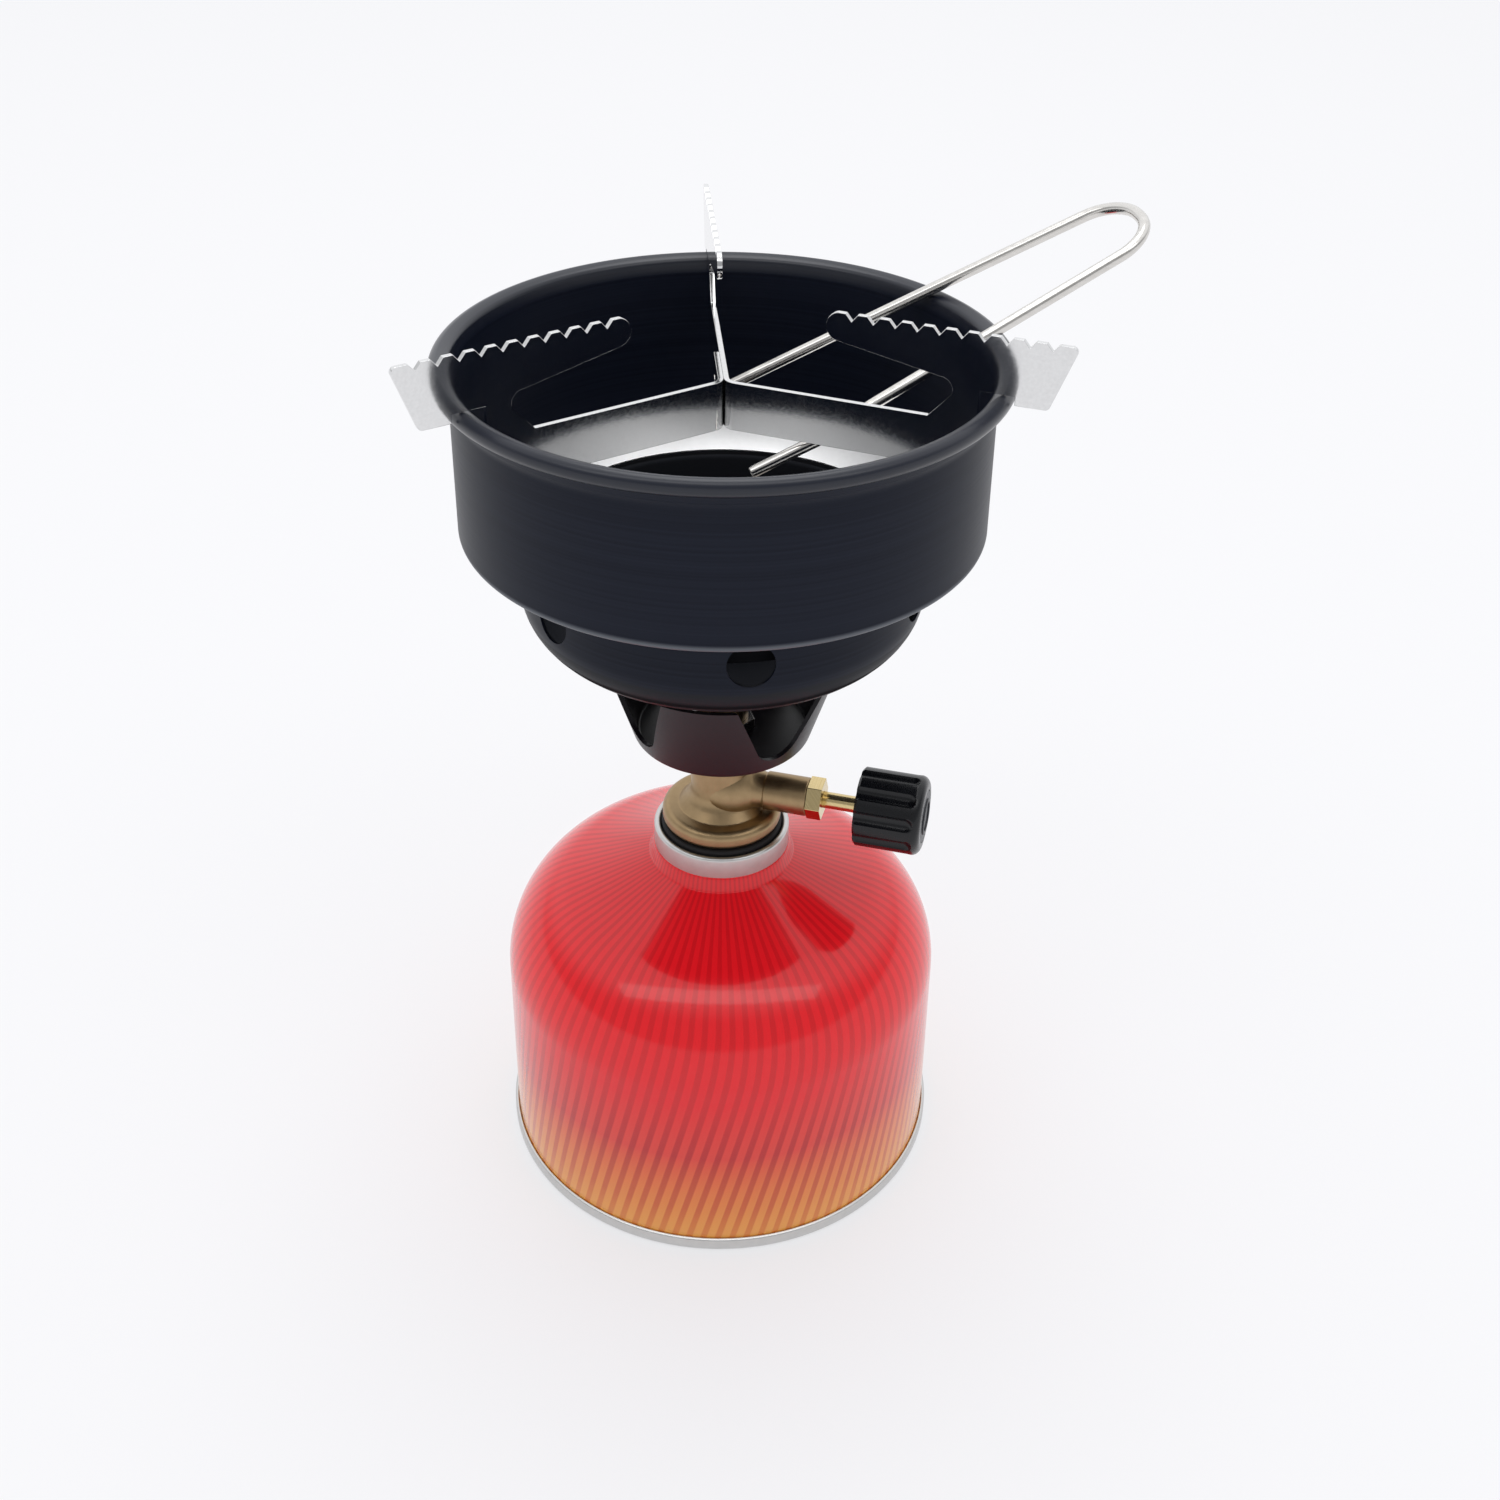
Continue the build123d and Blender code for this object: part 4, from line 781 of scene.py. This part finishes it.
def spun_slate():
    """Dark slate skin over spun sheet: turning lines, a burnished lip, a painted highlight on the lower
    edge, painted light inside the dish and painted shade on the throat.
    """
    finish = Finish("spun_slate", Specular_IOR_Level=0.05, Coat_Roughness=0.28)
    reach_out = finish.radius()
    turning = finish.lines(finish.z + reach_out * 0.7, 1500.0, 3.0)
    broad = finish.lines(finish.z + reach_out * 0.7, 260.0, 1.0)
    tone = (turning * 0.6 + broad * 0.4).step(0.3, 0.7)
    skin_tone = tone.mix(colour(0.0044, 0.0064, 0.0150), colour(0.0078, 0.0106, 0.0214))
    top = high("windscreen_bowl")
    corner = top - BOWL_DEPTH
    wall = reach("windscreen_bowl") - LIP_STAND_OUT
    # Painted highlight: a lighter grey band along the bowl's lower edge.
    edge = finish.z.band(*(corner + over for over in EDGE_HIGHLIGHT_BAND))
    edge = edge * reach_out.step(*(wall - inset for inset in EDGE_HIGHLIGHT_INSET))
    edge_highlit = (edge * 0.8).mix(skin_tone, colour(0.14, 0.15, 0.17))
    # Painted light: the dish's inner wall below the bowl's corner is made lighter grey.
    inside = reach_out.step(*(DISH_RADIUS - inset for inset in DISH_INSIDE_INSET))
    inside = inside * finish.z.step(corner, corner - DISH_INSIDE_DROP)
    lit = (inside * 0.8).mix(edge_highlit, colour(0.022, 0.023, 0.026))
    # Painted shade: the throat is made near-black, and rougher.
    painted_throat_shade = reach_out.band(*(THROAT_RADIUS + out for out in THROAT_SHADE_BAND)) * inside
    shine = finish.z.step(*(top - drop for drop in LIP_SHINE_DROP), 0.18, 0.9)
    finish.feed("Base Color", (painted_throat_shade * 0.9).mix(lit, colour(0.002, 0.0022, 0.003)))
    finish.feed("Roughness", turning * 0.12 + 0.36 + painted_throat_shade * 0.4)
    finish.feed("Coat Weight", shine * (1.0 - inside))
    finish.bump(turning, 0.2, 0.02 * MM)
    return finish.material


def shroud_enamel():
    """Black enamel with a faint plum cast."""
    finish = Finish("shroud_enamel", Specular_IOR_Level=0.35)
    grain = finish.noise(1500.0, 2.0)
    finish.feed("Base Color", grain.mix(colour(0.0070, 0.0052, 0.0082), colour(0.0110, 0.0085, 0.0130)))
    finish.feed("Roughness", grain * 0.14 + 0.3)
    return finish.material


def bright_sheet():
    """Polished stainless sheet with the faint orange-peel sparkle of a rolled surface."""
    finish = Finish("bright_sheet", Metallic=1.0)
    peel = finish.noise(1400.0, 3.0)
    finish.feed("Base Color", peel.mix(colour(0.66, 0.66, 0.66), colour(0.80, 0.80, 0.80)))
    finish.feed("Roughness", peel * 0.1 + 0.04)
    finish.bump(peel, 0.12, 0.02 * MM)
    return finish.material


def mirror_ring():
    """Bright satin reflector sheet with soft ripples."""
    finish = Finish("mirror_ring", Metallic=1.0)
    peel = finish.noise(700.0, 3.0)
    finish.feed("Base Color", peel.mix(colour(0.86, 0.86, 0.86), colour(0.94, 0.94, 0.94)))
    finish.feed("Roughness", peel * 0.16 + 0.32)
    finish.bump(peel, 0.15, 0.02 * MM)
    return finish.material


def drawn_wire():
    """Bright drawn stainless wire."""
    finish = Finish("drawn_wire", Metallic=1.0)
    draw = finish.noise(1600.0, 2.0, (0.3, 0.3, 1.0))
    finish.feed("Base Color", draw.mix(colour(0.60, 0.58, 0.55), colour(0.78, 0.76, 0.73)))
    finish.feed("Roughness", draw * 0.12 + 0.14)
    return finish.material


def valve_moulding():
    """Pale moulded plastic of the cartridge's valve housing."""
    finish = Finish("valve_moulding", Specular_IOR_Level=0.4)
    grain = finish.noise(1500.0, 2.0)
    finish.feed("Base Color", grain.mix(colour(0.64, 0.64, 0.60), colour(0.72, 0.72, 0.68)))
    finish.feed("Roughness", grain * 0.15 + 0.4)
    return finish.material


def hardware_steel():
    """Plain machined steel for nuts and studs."""
    finish = Finish("hardware_steel", Metallic=1.0)
    marks = finish.lines(finish.x + finish.z, 2400.0)
    finish.feed("Base Color", marks.mix(colour(0.46, 0.45, 0.44), colour(0.62, 0.61, 0.60)))
    finish.feed("Roughness", marks * 0.16 + 0.2)
    return finish.material


def burner_steel():
    """Burner steel dulled and browned by heat."""
    finish = Finish("burner_steel", Metallic=1.0)
    heat = finish.noise(180.0, 4.0)
    tint = heat.step(0.3, 0.7).mix(colour(0.20, 0.17, 0.15), colour(0.42, 0.40, 0.38))
    finish.feed("Base Color", tint)
    finish.feed("Roughness", heat * 0.25 + 0.3)
    return finish.material


FINISHES = {
    "can_paint": can_lacquer(),
    "can_steel": tinplate(),
    "rubber": seal_rubber(),
    "valve_plastic": valve_moulding(),
    "brass": aged_brass(),
    "bright_brass": machined_brass(),
    "knob_plastic": knob_plastic(),
    "cap_plastic": cap_plastic(),
    "black_enamel": shroud_enamel(),
    "slate_enamel": spun_slate(),
    "polished_steel": bright_sheet(),
    "reflector": mirror_ring(),
    "wire_steel": drawn_wire(),
    "steel": hardware_steel(),
    "burner_steel": burner_steel(),
}
RECORD = frame["record"]
SLOT_OF = {entry["node"]: entry["material_slot"] for entry in RECORD["subparts"]}
BODY_OF = {node: body for body, nodes in RECORD["behaviour"]["bodies"].items() for node in nodes}


def dress(piece, *nodes, finish=None):
    """Give a piece its finish, let it ride on its nodes' body and stand for those nodes."""
    slot = SLOT_OF[nodes[0]]
    piece.data.materials.clear()
    piece.data.materials.append(FINISHES[finish or slot])
    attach(piece, BODY_OF[nodes[0]])
    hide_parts(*nodes)
    return piece


# Gas cartridge

def can_side(inset):
    """The shell's line from the foot up to the mouth, on its outside or inset by the sheet."""
    radius = reach("cartridge_shell")
    centre = (radius - SHOULDER_RADIUS, SHOULDER_HEIGHT)
    turn = 90 - math.degrees(DOME_SLOPE)
    points = [(radius - inset, low("cartridge_shell"))]
    points += arc(centre, SHOULDER_RADIUS - inset, 0, turn, SHOULDER_STEPS)
    edge = points[-1]

    def cone(at):
        return edge[1] + (edge[0] - at) * math.tan(DOME_SLOPE)

    if not inset:
        collar = reach("mounting_cup")
        for step in range(NECK_RING_STEPS + 1):
            across = step / NECK_RING_STEPS
            at = collar + NECK_RING_WIDTH * (1 - across)
            points.append((at, cone(at) + NECK_RING_HEIGHT * across * across * (3 - 2 * across)))
        points.append((collar, cone(collar)))
    points.append((CAN_MOUTH_RADIUS, cone(CAN_MOUTH_RADIUS)))
    return points


def cartridge_shell():
    """Straight wall, round shoulder and cone, with a ring pressed up round the collar."""
    outline = can_side(0.0) + can_side(CAN_SHEET)[::-1]
    dress(turned("can_shell", outline, FINE_ROUND, angle=SOFT_ANGLE), "cartridge_shell")


def cartridge_base():
    """Rolled seam and concave bottom."""
    seam = reach("cartridge_base")
    can = reach("cartridge_shell")
    inner = can - 2 * CAN_SHEET - SLIP
    sphere = (inner ** 2 + BASE_RISE ** 2) / (2 * BASE_RISE)
    bottom = []
    for step in range(BASE_STEPS + 1):
        radius = inner * step / BASE_STEPS
        bottom.append((radius, SEAM_HEIGHT + BASE_RISE - sphere + math.sqrt(sphere ** 2 - radius ** 2)))
    top = [(radius, height + CAN_SHEET) for radius, height in bottom]
    foot = rounded([
        (inner, SEAM_HEIGHT), (inner, 0.0, SEAM_INNER_ROUND), (seam, 0.0, SEAM_FOOT_ROUND),
        (seam, SEAM_HEIGHT - SEAM_GROOVE, SEAM_TOP_ROUND), (can + SLIP, SEAM_HEIGHT, SEAM_LAP_ROUND),
        (can + SLIP, CAN_SHEET), (can - CAN_SHEET - SLIP, CAN_SHEET),
        (can - CAN_SHEET - SLIP, SEAM_HEIGHT + CAN_SHEET),
    ])
    outline = bottom[:-1] + foot + top[-2::-1]
    dress(turned("can_base", outline, angle=SOFT_ANGLE), "cartridge_base")


def mounting_cup():
    """Crimped collar round the seal, with the well and the post inside it."""
    collar = reach("mounting_cup")
    top = high("mounting_cup") + COLLAR_CURL
    inner = collar - COLLAR_WIDTH
    under = low("cup_gasket") + CAN_SHEET
    ledge = high("mounting_cup") - CUP_LEDGE_DROP
    underside = low("mounting_cup")
    floor = underside + CAN_SHEET
    well = CUP_WELL_RADIUS + CAN_SHEET
    post_top = low("valve_body") + CUP_POST_REACH
    outline = rounded([
        (collar, under, COLLAR_FOOT_ROUND), (collar, top, COLLAR_WIDTH / 2), (inner, top, COLLAR_WIDTH / 2),
        (inner, ledge), (CUP_WELL_RADIUS, ledge, CUP_EDGE_ROUND), (CUP_WELL_RADIUS, floor, CUP_WELL_ROUND),
        (CUP_POST_RADIUS, floor, CUP_POST_FOOT_ROUND), (CUP_POST_RADIUS, post_top, CUP_EDGE_ROUND),
        (CUP_BORE_RADIUS, post_top, CUP_BORE_ROUND), (CUP_BORE_RADIUS, underside),
        (well, underside, CUP_UNDER_ROUND), (well, under + CUP_SKIRT),
    ], 8)
    dress(turned("collar_cup", outline, COLLAR_ROUND), "mounting_cup")


def collar_seal():
    """Rubber ring under the brass bell."""
    bottom, top = low("collar_seal"), high("collar_seal")
    inner, outer = NOSE_RADIUS + SLIP, reach("collar_seal")
    outline = rounded([
        (inner, bottom), (outer, bottom, SEAL_ROUND), (outer, top, SEAL_ROUND), (inner, top),
    ])
    dress(turned("seal_ring", outline, COLLAR_ROUND), "collar_seal")


# Brass valve and knob

def join(first, second):
    """Put a second piece's mesh into the first one."""
    bm = bmesh.new()
    bm.from_mesh(first.data)
    bm.from_mesh(second.data)
    bm.to_mesh(first.data)
    bm.free()
    bpy.data.objects.remove(second)
    return first


def valve_body():
    """Bell, boss and neck, with the side arm growing out of the boss in a round elbow."""
    floor = low("valve_body")
    bell = high("collar_seal") + SLIP
    bead = bell + BELL_BEAD
    boss = low("air_shroud") - SLIP
    neck = high("valve_body")
    column = rounded([
        (0.0, floor + SOCKET_DEPTH), (SOCKET_RADIUS, floor + SOCKET_DEPTH), (SOCKET_RADIUS, floor),
        (NOSE_RADIUS, floor, NOSE_ROUND), (NOSE_RADIUS, bell), (BELL_RADIUS, bell, BELL_RIM),
        (BELL_RADIUS, bead, BELL_BEAD), (BELL_WAIST_RADIUS, bead, BELL_WAIST_ROUND),
        (BOSS_RADIUS, bell + BELL_HEIGHT, BELL_BEAD), (BOSS_RADIUS, boss, BOSS_ROUND),
        (NECK_RADIUS, boss), (NECK_RADIUS, neck, NECK_ROUND), (0.0, neck),
    ], 12)
    body = turned("brass_body", column, BRASS_ROUND)
    end = reach("valve_body")
    bore = end - SPINDLE_BORE_DEPTH
    elbow = arc((ELBOW_REACH, 0.0), ELBOW_RADIUS, 180, 180 - ELBOW_SWEEP, ELBOW_STEPS)
    arm = [(radius, along) for along, radius in elbow] + rounded([
        (ARM_RADIUS + ARM_FLARE, ELBOW_REACH + ELBOW_LEAVE), (ARM_RADIUS, ARM_STEP - ARM_ROUND),
        (ARM_RADIUS, ARM_STEP, ARM_ROUND), (ARM_END_RADIUS, ARM_STEP + ARM_STEP_SLOPE, ARM_ROUND),
        (ARM_END_RADIUS, end, ARM_ROUND), (SPINDLE_BORE, end), (SPINDLE_BORE, bore), (0.0, bore),
    ], 8)
    side = turned("brass_arm", arm, ARM_STEPS, along_x_at=mid_height("spindle"))
    dress(join(body, side), "valve_body")


def knob_rows(crest, start, stop):
    """The knob's outside as (radius, along) rows, from its back edge to its rounded front."""
    back = start + KNOB_BACK_EDGE
    front = stop - KNOB_EDGE
    rows = [(crest - KNOB_BACK_EDGE, start)]
    rows += [(crest, back + (front - back) * step / KNOB_ROWS) for step in range(KNOB_ROWS + 1)]
    return rows + arc((crest - KNOB_EDGE, front), KNOB_EDGE, 0, 90)[1:]


def knob():
    """Fluted grip: each ray of the outline stops at the flute or at the round crest."""
    start, stop = (corner.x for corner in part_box("knob"))
    crest = half_width("knob")
    height = mid_height("knob")
    centre = crest + FLUTE_RADIUS - FLUTE_DEPTH
    around = KNOB_FLUTES * FLUTE_STEPS
    bm = bmesh.new()

    def ring(along, radii):
        turns = [2 * math.pi * step / around for step in range(around)]
        return [
            bm.verts.new((along, radius * math.cos(turn), height + radius * math.sin(turn)))
            for turn, radius in zip(turns, radii)
        ]

    def fluted(radius, along):
        past = max(0.0, along - stop + FLUTE_END)
        hollow = math.sqrt(max(0.0, FLUTE_RADIUS ** 2 - past ** 2))
        for step in range(around):
            lean = 2 * math.pi * (step % FLUTE_STEPS / FLUTE_STEPS - 0.5) / KNOB_FLUTES
            wide = centre * math.sin(lean)
            grip = radius
            if abs(wide) < hollow:
                grip = min(grip, centre * math.cos(lean) - math.sqrt(hollow ** 2 - wide ** 2))
            yield grip

    bore = start + KNOB_GRIP
    recess = stop - KNOB_CAP_SHEET
    rings = [[bm.verts.new((bore, 0, height))]]
    rings += [ring(along, [SPINDLE_BORE] * around) for along in (bore, start)]
    rings += [ring(along, fluted(radius, along)) for radius, along in knob_rows(crest, start, stop)]
    rings += [ring(along, [KNOB_RECESS] * around) for along in (stop, recess)]
    rings.append([bm.verts.new((recess, 0, height))])
    skin(bm, rings)
    piece = piece_from(bm, "knob_grip")
    smooth(piece.data, KNOB_ANGLE)
    dress(piece, "knob")


def knob_cap():
    """Round disc in the knob's end, with a plain raised ring."""
    face = reach("knob")
    disc = face - KNOB_CAP_SHEET
    edge = KNOB_RECESS - SLIP
    proud = face + KNOB_RING_HEIGHT
    inner = KNOB_RING_RADIUS - KNOB_RING_WIDTH / 2
    outer = KNOB_RING_RADIUS + KNOB_RING_WIDTH / 2
    outline = rounded([
        (0.0, disc), (edge, disc), (edge, face, KNOB_CAP_ROUND),
        (outer, face), (outer, proud, KNOB_RING_ROUND),
        (inner, proud, KNOB_RING_ROUND), (inner, face), (0.0, face),
    ])
    disc_piece = turned("knob_disc", outline, DISC_ROUND, along_x_at=mid_height("knob"))
    dress(disc_piece, "knob_cap", finish="cap_plastic")


def spindle():
    """Plain needle spindle."""
    start, stop = (corner.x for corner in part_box("spindle"))
    shaft = half_width("spindle")
    outline = [
        (0.0, start), (NEEDLE_TIP_RADIUS, start), (shaft, start + NEEDLE_TAPER), (shaft, stop), (0.0, stop),
    ]
    height = mid_height("spindle")
    dress(turned("needle_spindle", outline, SPINDLE_ROUND, along_x_at=height), "spindle")


# Burner

def air_shroud():
    """Flared cup cut by tall arches from its top edge."""
    floor, top = low("air_shroud"), high("air_shroud")
    wide = SHROUD_RADIUS + SHROUD_FLARE * (top - floor)
    bend = SHROUD_RADIUS - SHROUD_SHEET + SHROUD_FLARE * SHROUD_SHEET
    outline = rounded([
        (SHROUD_HOLE, floor), (SHROUD_RADIUS, floor, SHROUD_CORNER + SHROUD_SHEET), (wide, top),
        (wide - SHROUD_SHEET, top), (bend, floor + SHROUD_SHEET, SHROUD_CORNER),
        (SHROUD_HOLE, floor + SHROUD_SHEET),
    ])
    shell = turned("shroud_shell", outline)
    middle = floor + ARCH_RISE + ARCH_END_RADIUS
    lip = top + SHROUD_SHEET
    half = ARCH_WIDTH / 2
    lean = math.atan2(half, lip - middle) - math.asin(ARCH_END_RADIUS / math.hypot(half, lip - middle))
    lean = math.degrees(lean)
    arch = arc((0.0, middle), ARCH_END_RADIUS, 180 + lean, 360 - lean, ARCH_STEPS)
    arch += [(half, lip), (-half, lip)]
    past = reach("windscreen_bowl")
    cutters = [prism("arch", arch, azimuth, 0.0, past) for azimuth in ARCH_AZIMUTHS]
    dress(ease_edges(cut(shell, cutters), SHROUD_EASE), "air_shroud")


def floor_height(radius):
    """Height of the underside of the bowl's sloping floor."""
    wall = reach("windscreen_bowl") - LIP_STAND_OUT
    corner = high("windscreen_bowl") - BOWL_DEPTH
    return corner - (wall - radius) * math.tan(FLOOR_SLOPE)


def rise(sheet):
    """How much a sheet of that thickness raises what lies on the slope."""
    return sheet / math.cos(FLOOR_SLOPE)


def lower_dish():
    """Round-bottomed dish with a row of air holes and a flange under the bowl's floor."""
    floor = low("lower_dish")
    inner = DISH_RADIUS - DISH_SHEET
    end = reach("lower_dish")

    def flange(radius):
        return floor_height(radius) - SLIP - rise(DISH_SHEET)

    outline = rounded([
        (DISH_HOLE, floor), (DISH_RADIUS, floor, DISH_CORNER), (DISH_RADIUS, flange(DISH_RADIUS)),
        (end, flange(end)), (end, flange(end) + rise(DISH_SHEET)),
        (inner, flange(inner) + rise(DISH_SHEET)),
        (inner, floor + DISH_SHEET, DISH_CORNER - DISH_SHEET), (DISH_HOLE, floor + DISH_SHEET),
    ], 14)
    shell = turned("dish_shell", outline)
    hole = arc((0.0, floor + AIR_HOLE_RISE), AIR_HOLE_RADIUS, 0, 360, AIR_HOLE_STEPS)[:-1]
    azimuths = [AIR_HOLE_AZIMUTH + step * 360 / AIR_HOLES for step in range(AIR_HOLES)]
    cutters = [prism("hole", hole, azimuth, inner / 2, end) for azimuth in azimuths]
    dress(ease_edges(cut(shell, cutters), DISH_EASE), "lower_dish")


def windscreen_bowl():
    """Sloping floor turned down into a throat, straight wall and rolled lip."""
    lip = reach("windscreen_bowl")
    top = high("windscreen_bowl")
    wall = lip - LIP_STAND_OUT
    inner = wall - BOWL_SHEET
    throat = THROAT_RADIUS + BOWL_SHEET
    hem = low("windscreen_bowl")
    crest = lip - LIP_BEAD
    middle = top - LIP_BEAD
    outside = rounded([
        (THROAT_RADIUS, hem), (throat, hem), (throat, floor_height(throat), THROAT_BEND),
        (wall, floor_height(wall), BOWL_CORNER), (wall, middle - LIP_FLARE_DROP, LIP_FLARE_ROUND),
        (crest, middle - LIP_BEAD, LIP_UNDER_ROUND),
    ], 8)
    bead = arc((crest, middle), LIP_BEAD, -90, 90, LIP_STEPS)
    inside = rounded([
        (crest, top), (inner + LIP_FALL[0], top - LIP_FALL[1], LIP_FALL_ROUND),
        (inner, middle - LIP_BEAD, LIP_INNER_ROUND),
        (inner, floor_height(inner) + rise(BOWL_SHEET), BOWL_FLOOR_ROUND),
        (THROAT_RADIUS, floor_height(THROAT_RADIUS) + rise(BOWL_SHEET), THROAT_BEND + BOWL_SHEET),
        (THROAT_RADIUS, hem),
    ], 8)
    outline = outside[1:] + bead + inside[1:]
    dress(turned("bowl_shell", outline, FINE_ROUND, angle=SOFT_ANGLE), "windscreen_bowl")


def heat_reflector():
    """Bright ring lying on the bowl's floor."""
    inner = THROAT_RADIUS + BOWL_SHEET + REFLECTOR_INSET
    outer = reach("heat_reflector")
    seat = rise(BOWL_SHEET) + SLIP
    thick = rise(REFLECTOR_SHEET)
    outline = [
        (inner, floor_height(inner) + seat), (outer, floor_height(outer) + seat),
        (outer, floor_height(outer) + seat + thick), (inner, floor_height(inner) + seat + thick),
    ]
    dress(turned("reflector_ring", outline), "heat_reflector", finish="reflector")


def hardware():
    """Pieces whose solids are right and only need their edges eased."""
    for node, width in HARDWARE_EASE.items():
        dress(refined(node, width), node)


def weld_buttons():
    """Spot welds down the middle of the pot support's doubled strip."""
    height = low("support_single_sheet") + STRIP_WIDTH / 2
    side = polar(1.0, REAR_AZIMUTH + 90)
    face = side * SUPPORT_SHEET
    points = [polar(along, REAR_AZIMUTH, height) + face for along in WELD_REACHES]
    mesh = bpy.data.meshes.new("support_welds")
    mesh.from_pydata(points, [], [])
    piece = new_piece("support_welds", mesh)
    turn = UP.rotation_difference(side).to_euler()
    values = {"Button radius": WELD_RADIUS, "Button height": WELD_HEIGHT, "Turn": turn}
    weld_tree(FINISHES["polished_steel"]).run(piece, values)
    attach(piece, "pot_support")


def wire_handle():
    """Splayed legs, round loop and one cranked foot, lying on the lip."""
    crest = reach("windscreen_bowl") - LIP_BEAD
    clear = (LIP_BEAD + WIRE_REST + WIRE_RADIUS) / math.cos(HANDLE_RISE)
    height = high("windscreen_bowl") - LIP_BEAD + clear
    contacts = [polar(crest, azimuth, height) for azimuth in HANDLE_CONTACT_AZIMUTHS]
    middle = (contacts[0] + contacts[1]) / 2
    half_gap = (contacts[1] - contacts[0]).length / 2
    out = polar(math.cos(HANDLE_RISE), HANDLE_AZIMUTH, math.sin(HANDLE_RISE))
    level = polar(1.0, HANDLE_AZIMUTH + 90)
    up = out.cross(level)
    side = level * math.cos(HANDLE_BANK) + up * math.sin(HANDLE_BANK)

    def leg(along):
        return half_gap - LEG_TAPER * along

    path = [
        (FOOT_END_REACH, -leg(FOOT_END_REACH) - FOOT_END_SPREAD),
        (FOOT_KNEE_REACH, -leg(FOOT_KNEE_REACH) - FOOT_KNEE_SPREAD),
        (FOOT_START_REACH, -leg(FOOT_START_REACH)), (LOOP_REACH, -leg(LOOP_REACH)),
        (LOOP_REACH, leg(LOOP_REACH)), (LEG_END_REACH, leg(LEG_END_REACH)),
    ]
    mesh = bpy.data.meshes.new("handle_wire")
    points = [middle + out * along + side * across for along, across in path]
    mesh.from_pydata(points, [(step, step + 1) for step in range(len(points) - 1)], [])
    piece = new_piece("handle_wire", mesh)
    values = {"Wire radius": WIRE_RADIUS, "Bend radius": LOOP_CORNER}
    wire_tree(FINISHES["wire_steel"]).run(piece, values)
    ease_edges(piece, WIRE_END_EASE, WIRE_END_ANGLE)
    dress(piece, "wire_handle")


cartridge_shell()
cartridge_base()
mounting_cup()
collar_seal()
valve_body()
knob()
knob_cap()
spindle()
air_shroud()
lower_dish()
windscreen_bowl()
heat_reflector()
hardware()
weld_buttons()
wire_handle()

for name, node in frame["nodes"].items():
    if not node.hide_render:
        node.data.materials.clear()
        node.data.materials.append(FINISHES[SLOT_OF[name]])


# Floor, light and camera

def pale_floor():
    """Pale paper under the stove, seen partly as plain white and partly as lit, with its shadow."""
    bpy.ops.mesh.primitive_plane_add(size=FLOOR_SIZE, location=(0, 0, -FLOOR_DROP))
    floor = bpy.context.object
    floor.name = "pale_floor"
    finish = Finish(
        "pale_paper", Base_Color=colour(0.80, 0.80, 0.81), Roughness=0.8, Specular_IOR_Level=0.1,
    )
    tree = finish.tree
    paper = Signal(tree, finish.shader.outputs[0])
    white = paper.node("ShaderNodeEmission", inputs={"Color": colour(0.95, 0.95, 0.97)})
    ways = paper.node("ShaderNodeLightPath").socket.node.outputs
    seen = Signal(tree, ways["Is Camera Ray"])
    for way in ("Is Glossy Ray", "Is Transmission Ray"):
        seen = seen.maths("MAXIMUM", seen, Signal(tree, ways[way]))
    mixed = paper.node("ShaderNodeMixShader", inputs={0: seen * FLOOR_WHITE, 1: paper, 2: white})
    tree.links.new(mixed.socket, tree.nodes["Material Output"].inputs["Surface"])
    floor.data.materials.append(finish.material)


def sky():
    """White backdrop all round, and a sky that is bright overhead and behind and dim over the front."""
    world = bpy.data.worlds.new("studio_sky")
    bpy.context.scene.world = world
    world.use_nodes = True
    tree = world.node_tree
    back = tree.nodes["Background"]
    way = Signal(tree, tree.nodes.new("ShaderNodeTexCoord").outputs["Generated"])
    across, along, height = way.split()
    leaned = height + across * SKY_LEAN[0] + along * SKY_LEAN[1]
    overhead = leaned.step(*SKY_BAND, SKY_LOW, SKY_LIGHT)
    backdrop = height.step(*BACKDROP_TOP, BACKDROP_WHITE, 0.0)
    strength = way.maths("MAXIMUM", overhead, backdrop)
    tree.links.new(strength.socket, back.inputs["Strength"])
    back.inputs["Color"].default_value = colour(0.97, 0.98, 1.0)


def softboxes():
    """A square lamp overhead and a long one over the front."""
    for name, (place, width, depth, power) in LAMPS.items():
        data = bpy.data.lights.new(name, "AREA")
        data.shape = "RECTANGLE"
        data.size = width
        data.size_y = depth
        data.energy = power
        lamp = bpy.data.objects.new(name, data)
        lamp.location = place
        lamp.rotation_euler = (Vector(LAMP_AIM) - Vector(place)).to_track_quat("-Z", "Y").to_euler()
        bpy.context.scene.collection.objects.link(lamp)


def camera():
    """The photograph's viewpoint."""
    data = bpy.data.cameras.new("camera")
    data.sensor_width = CAMERA_SENSOR
    data.lens = CAMERA_LENS
    data.shift_y = CAMERA_SHIFT
    data.clip_start = CAMERA_NEAR
    eye = bpy.data.objects.new("camera", data)
    aimed = Vector(CAMERA_AIM).to_track_quat("-Z", "Y").to_matrix()
    eye.rotation_euler = (aimed @ Matrix.Rotation(CAMERA_ROLL, 3, "Z")).to_euler()
    eye.location = CAMERA_PLACE
    bpy.context.scene.collection.objects.link(eye)
    bpy.context.scene.camera = eye


pale_floor()
sky()
softboxes()
camera()
bpy.context.scene.view_settings.view_transform = "Standard"
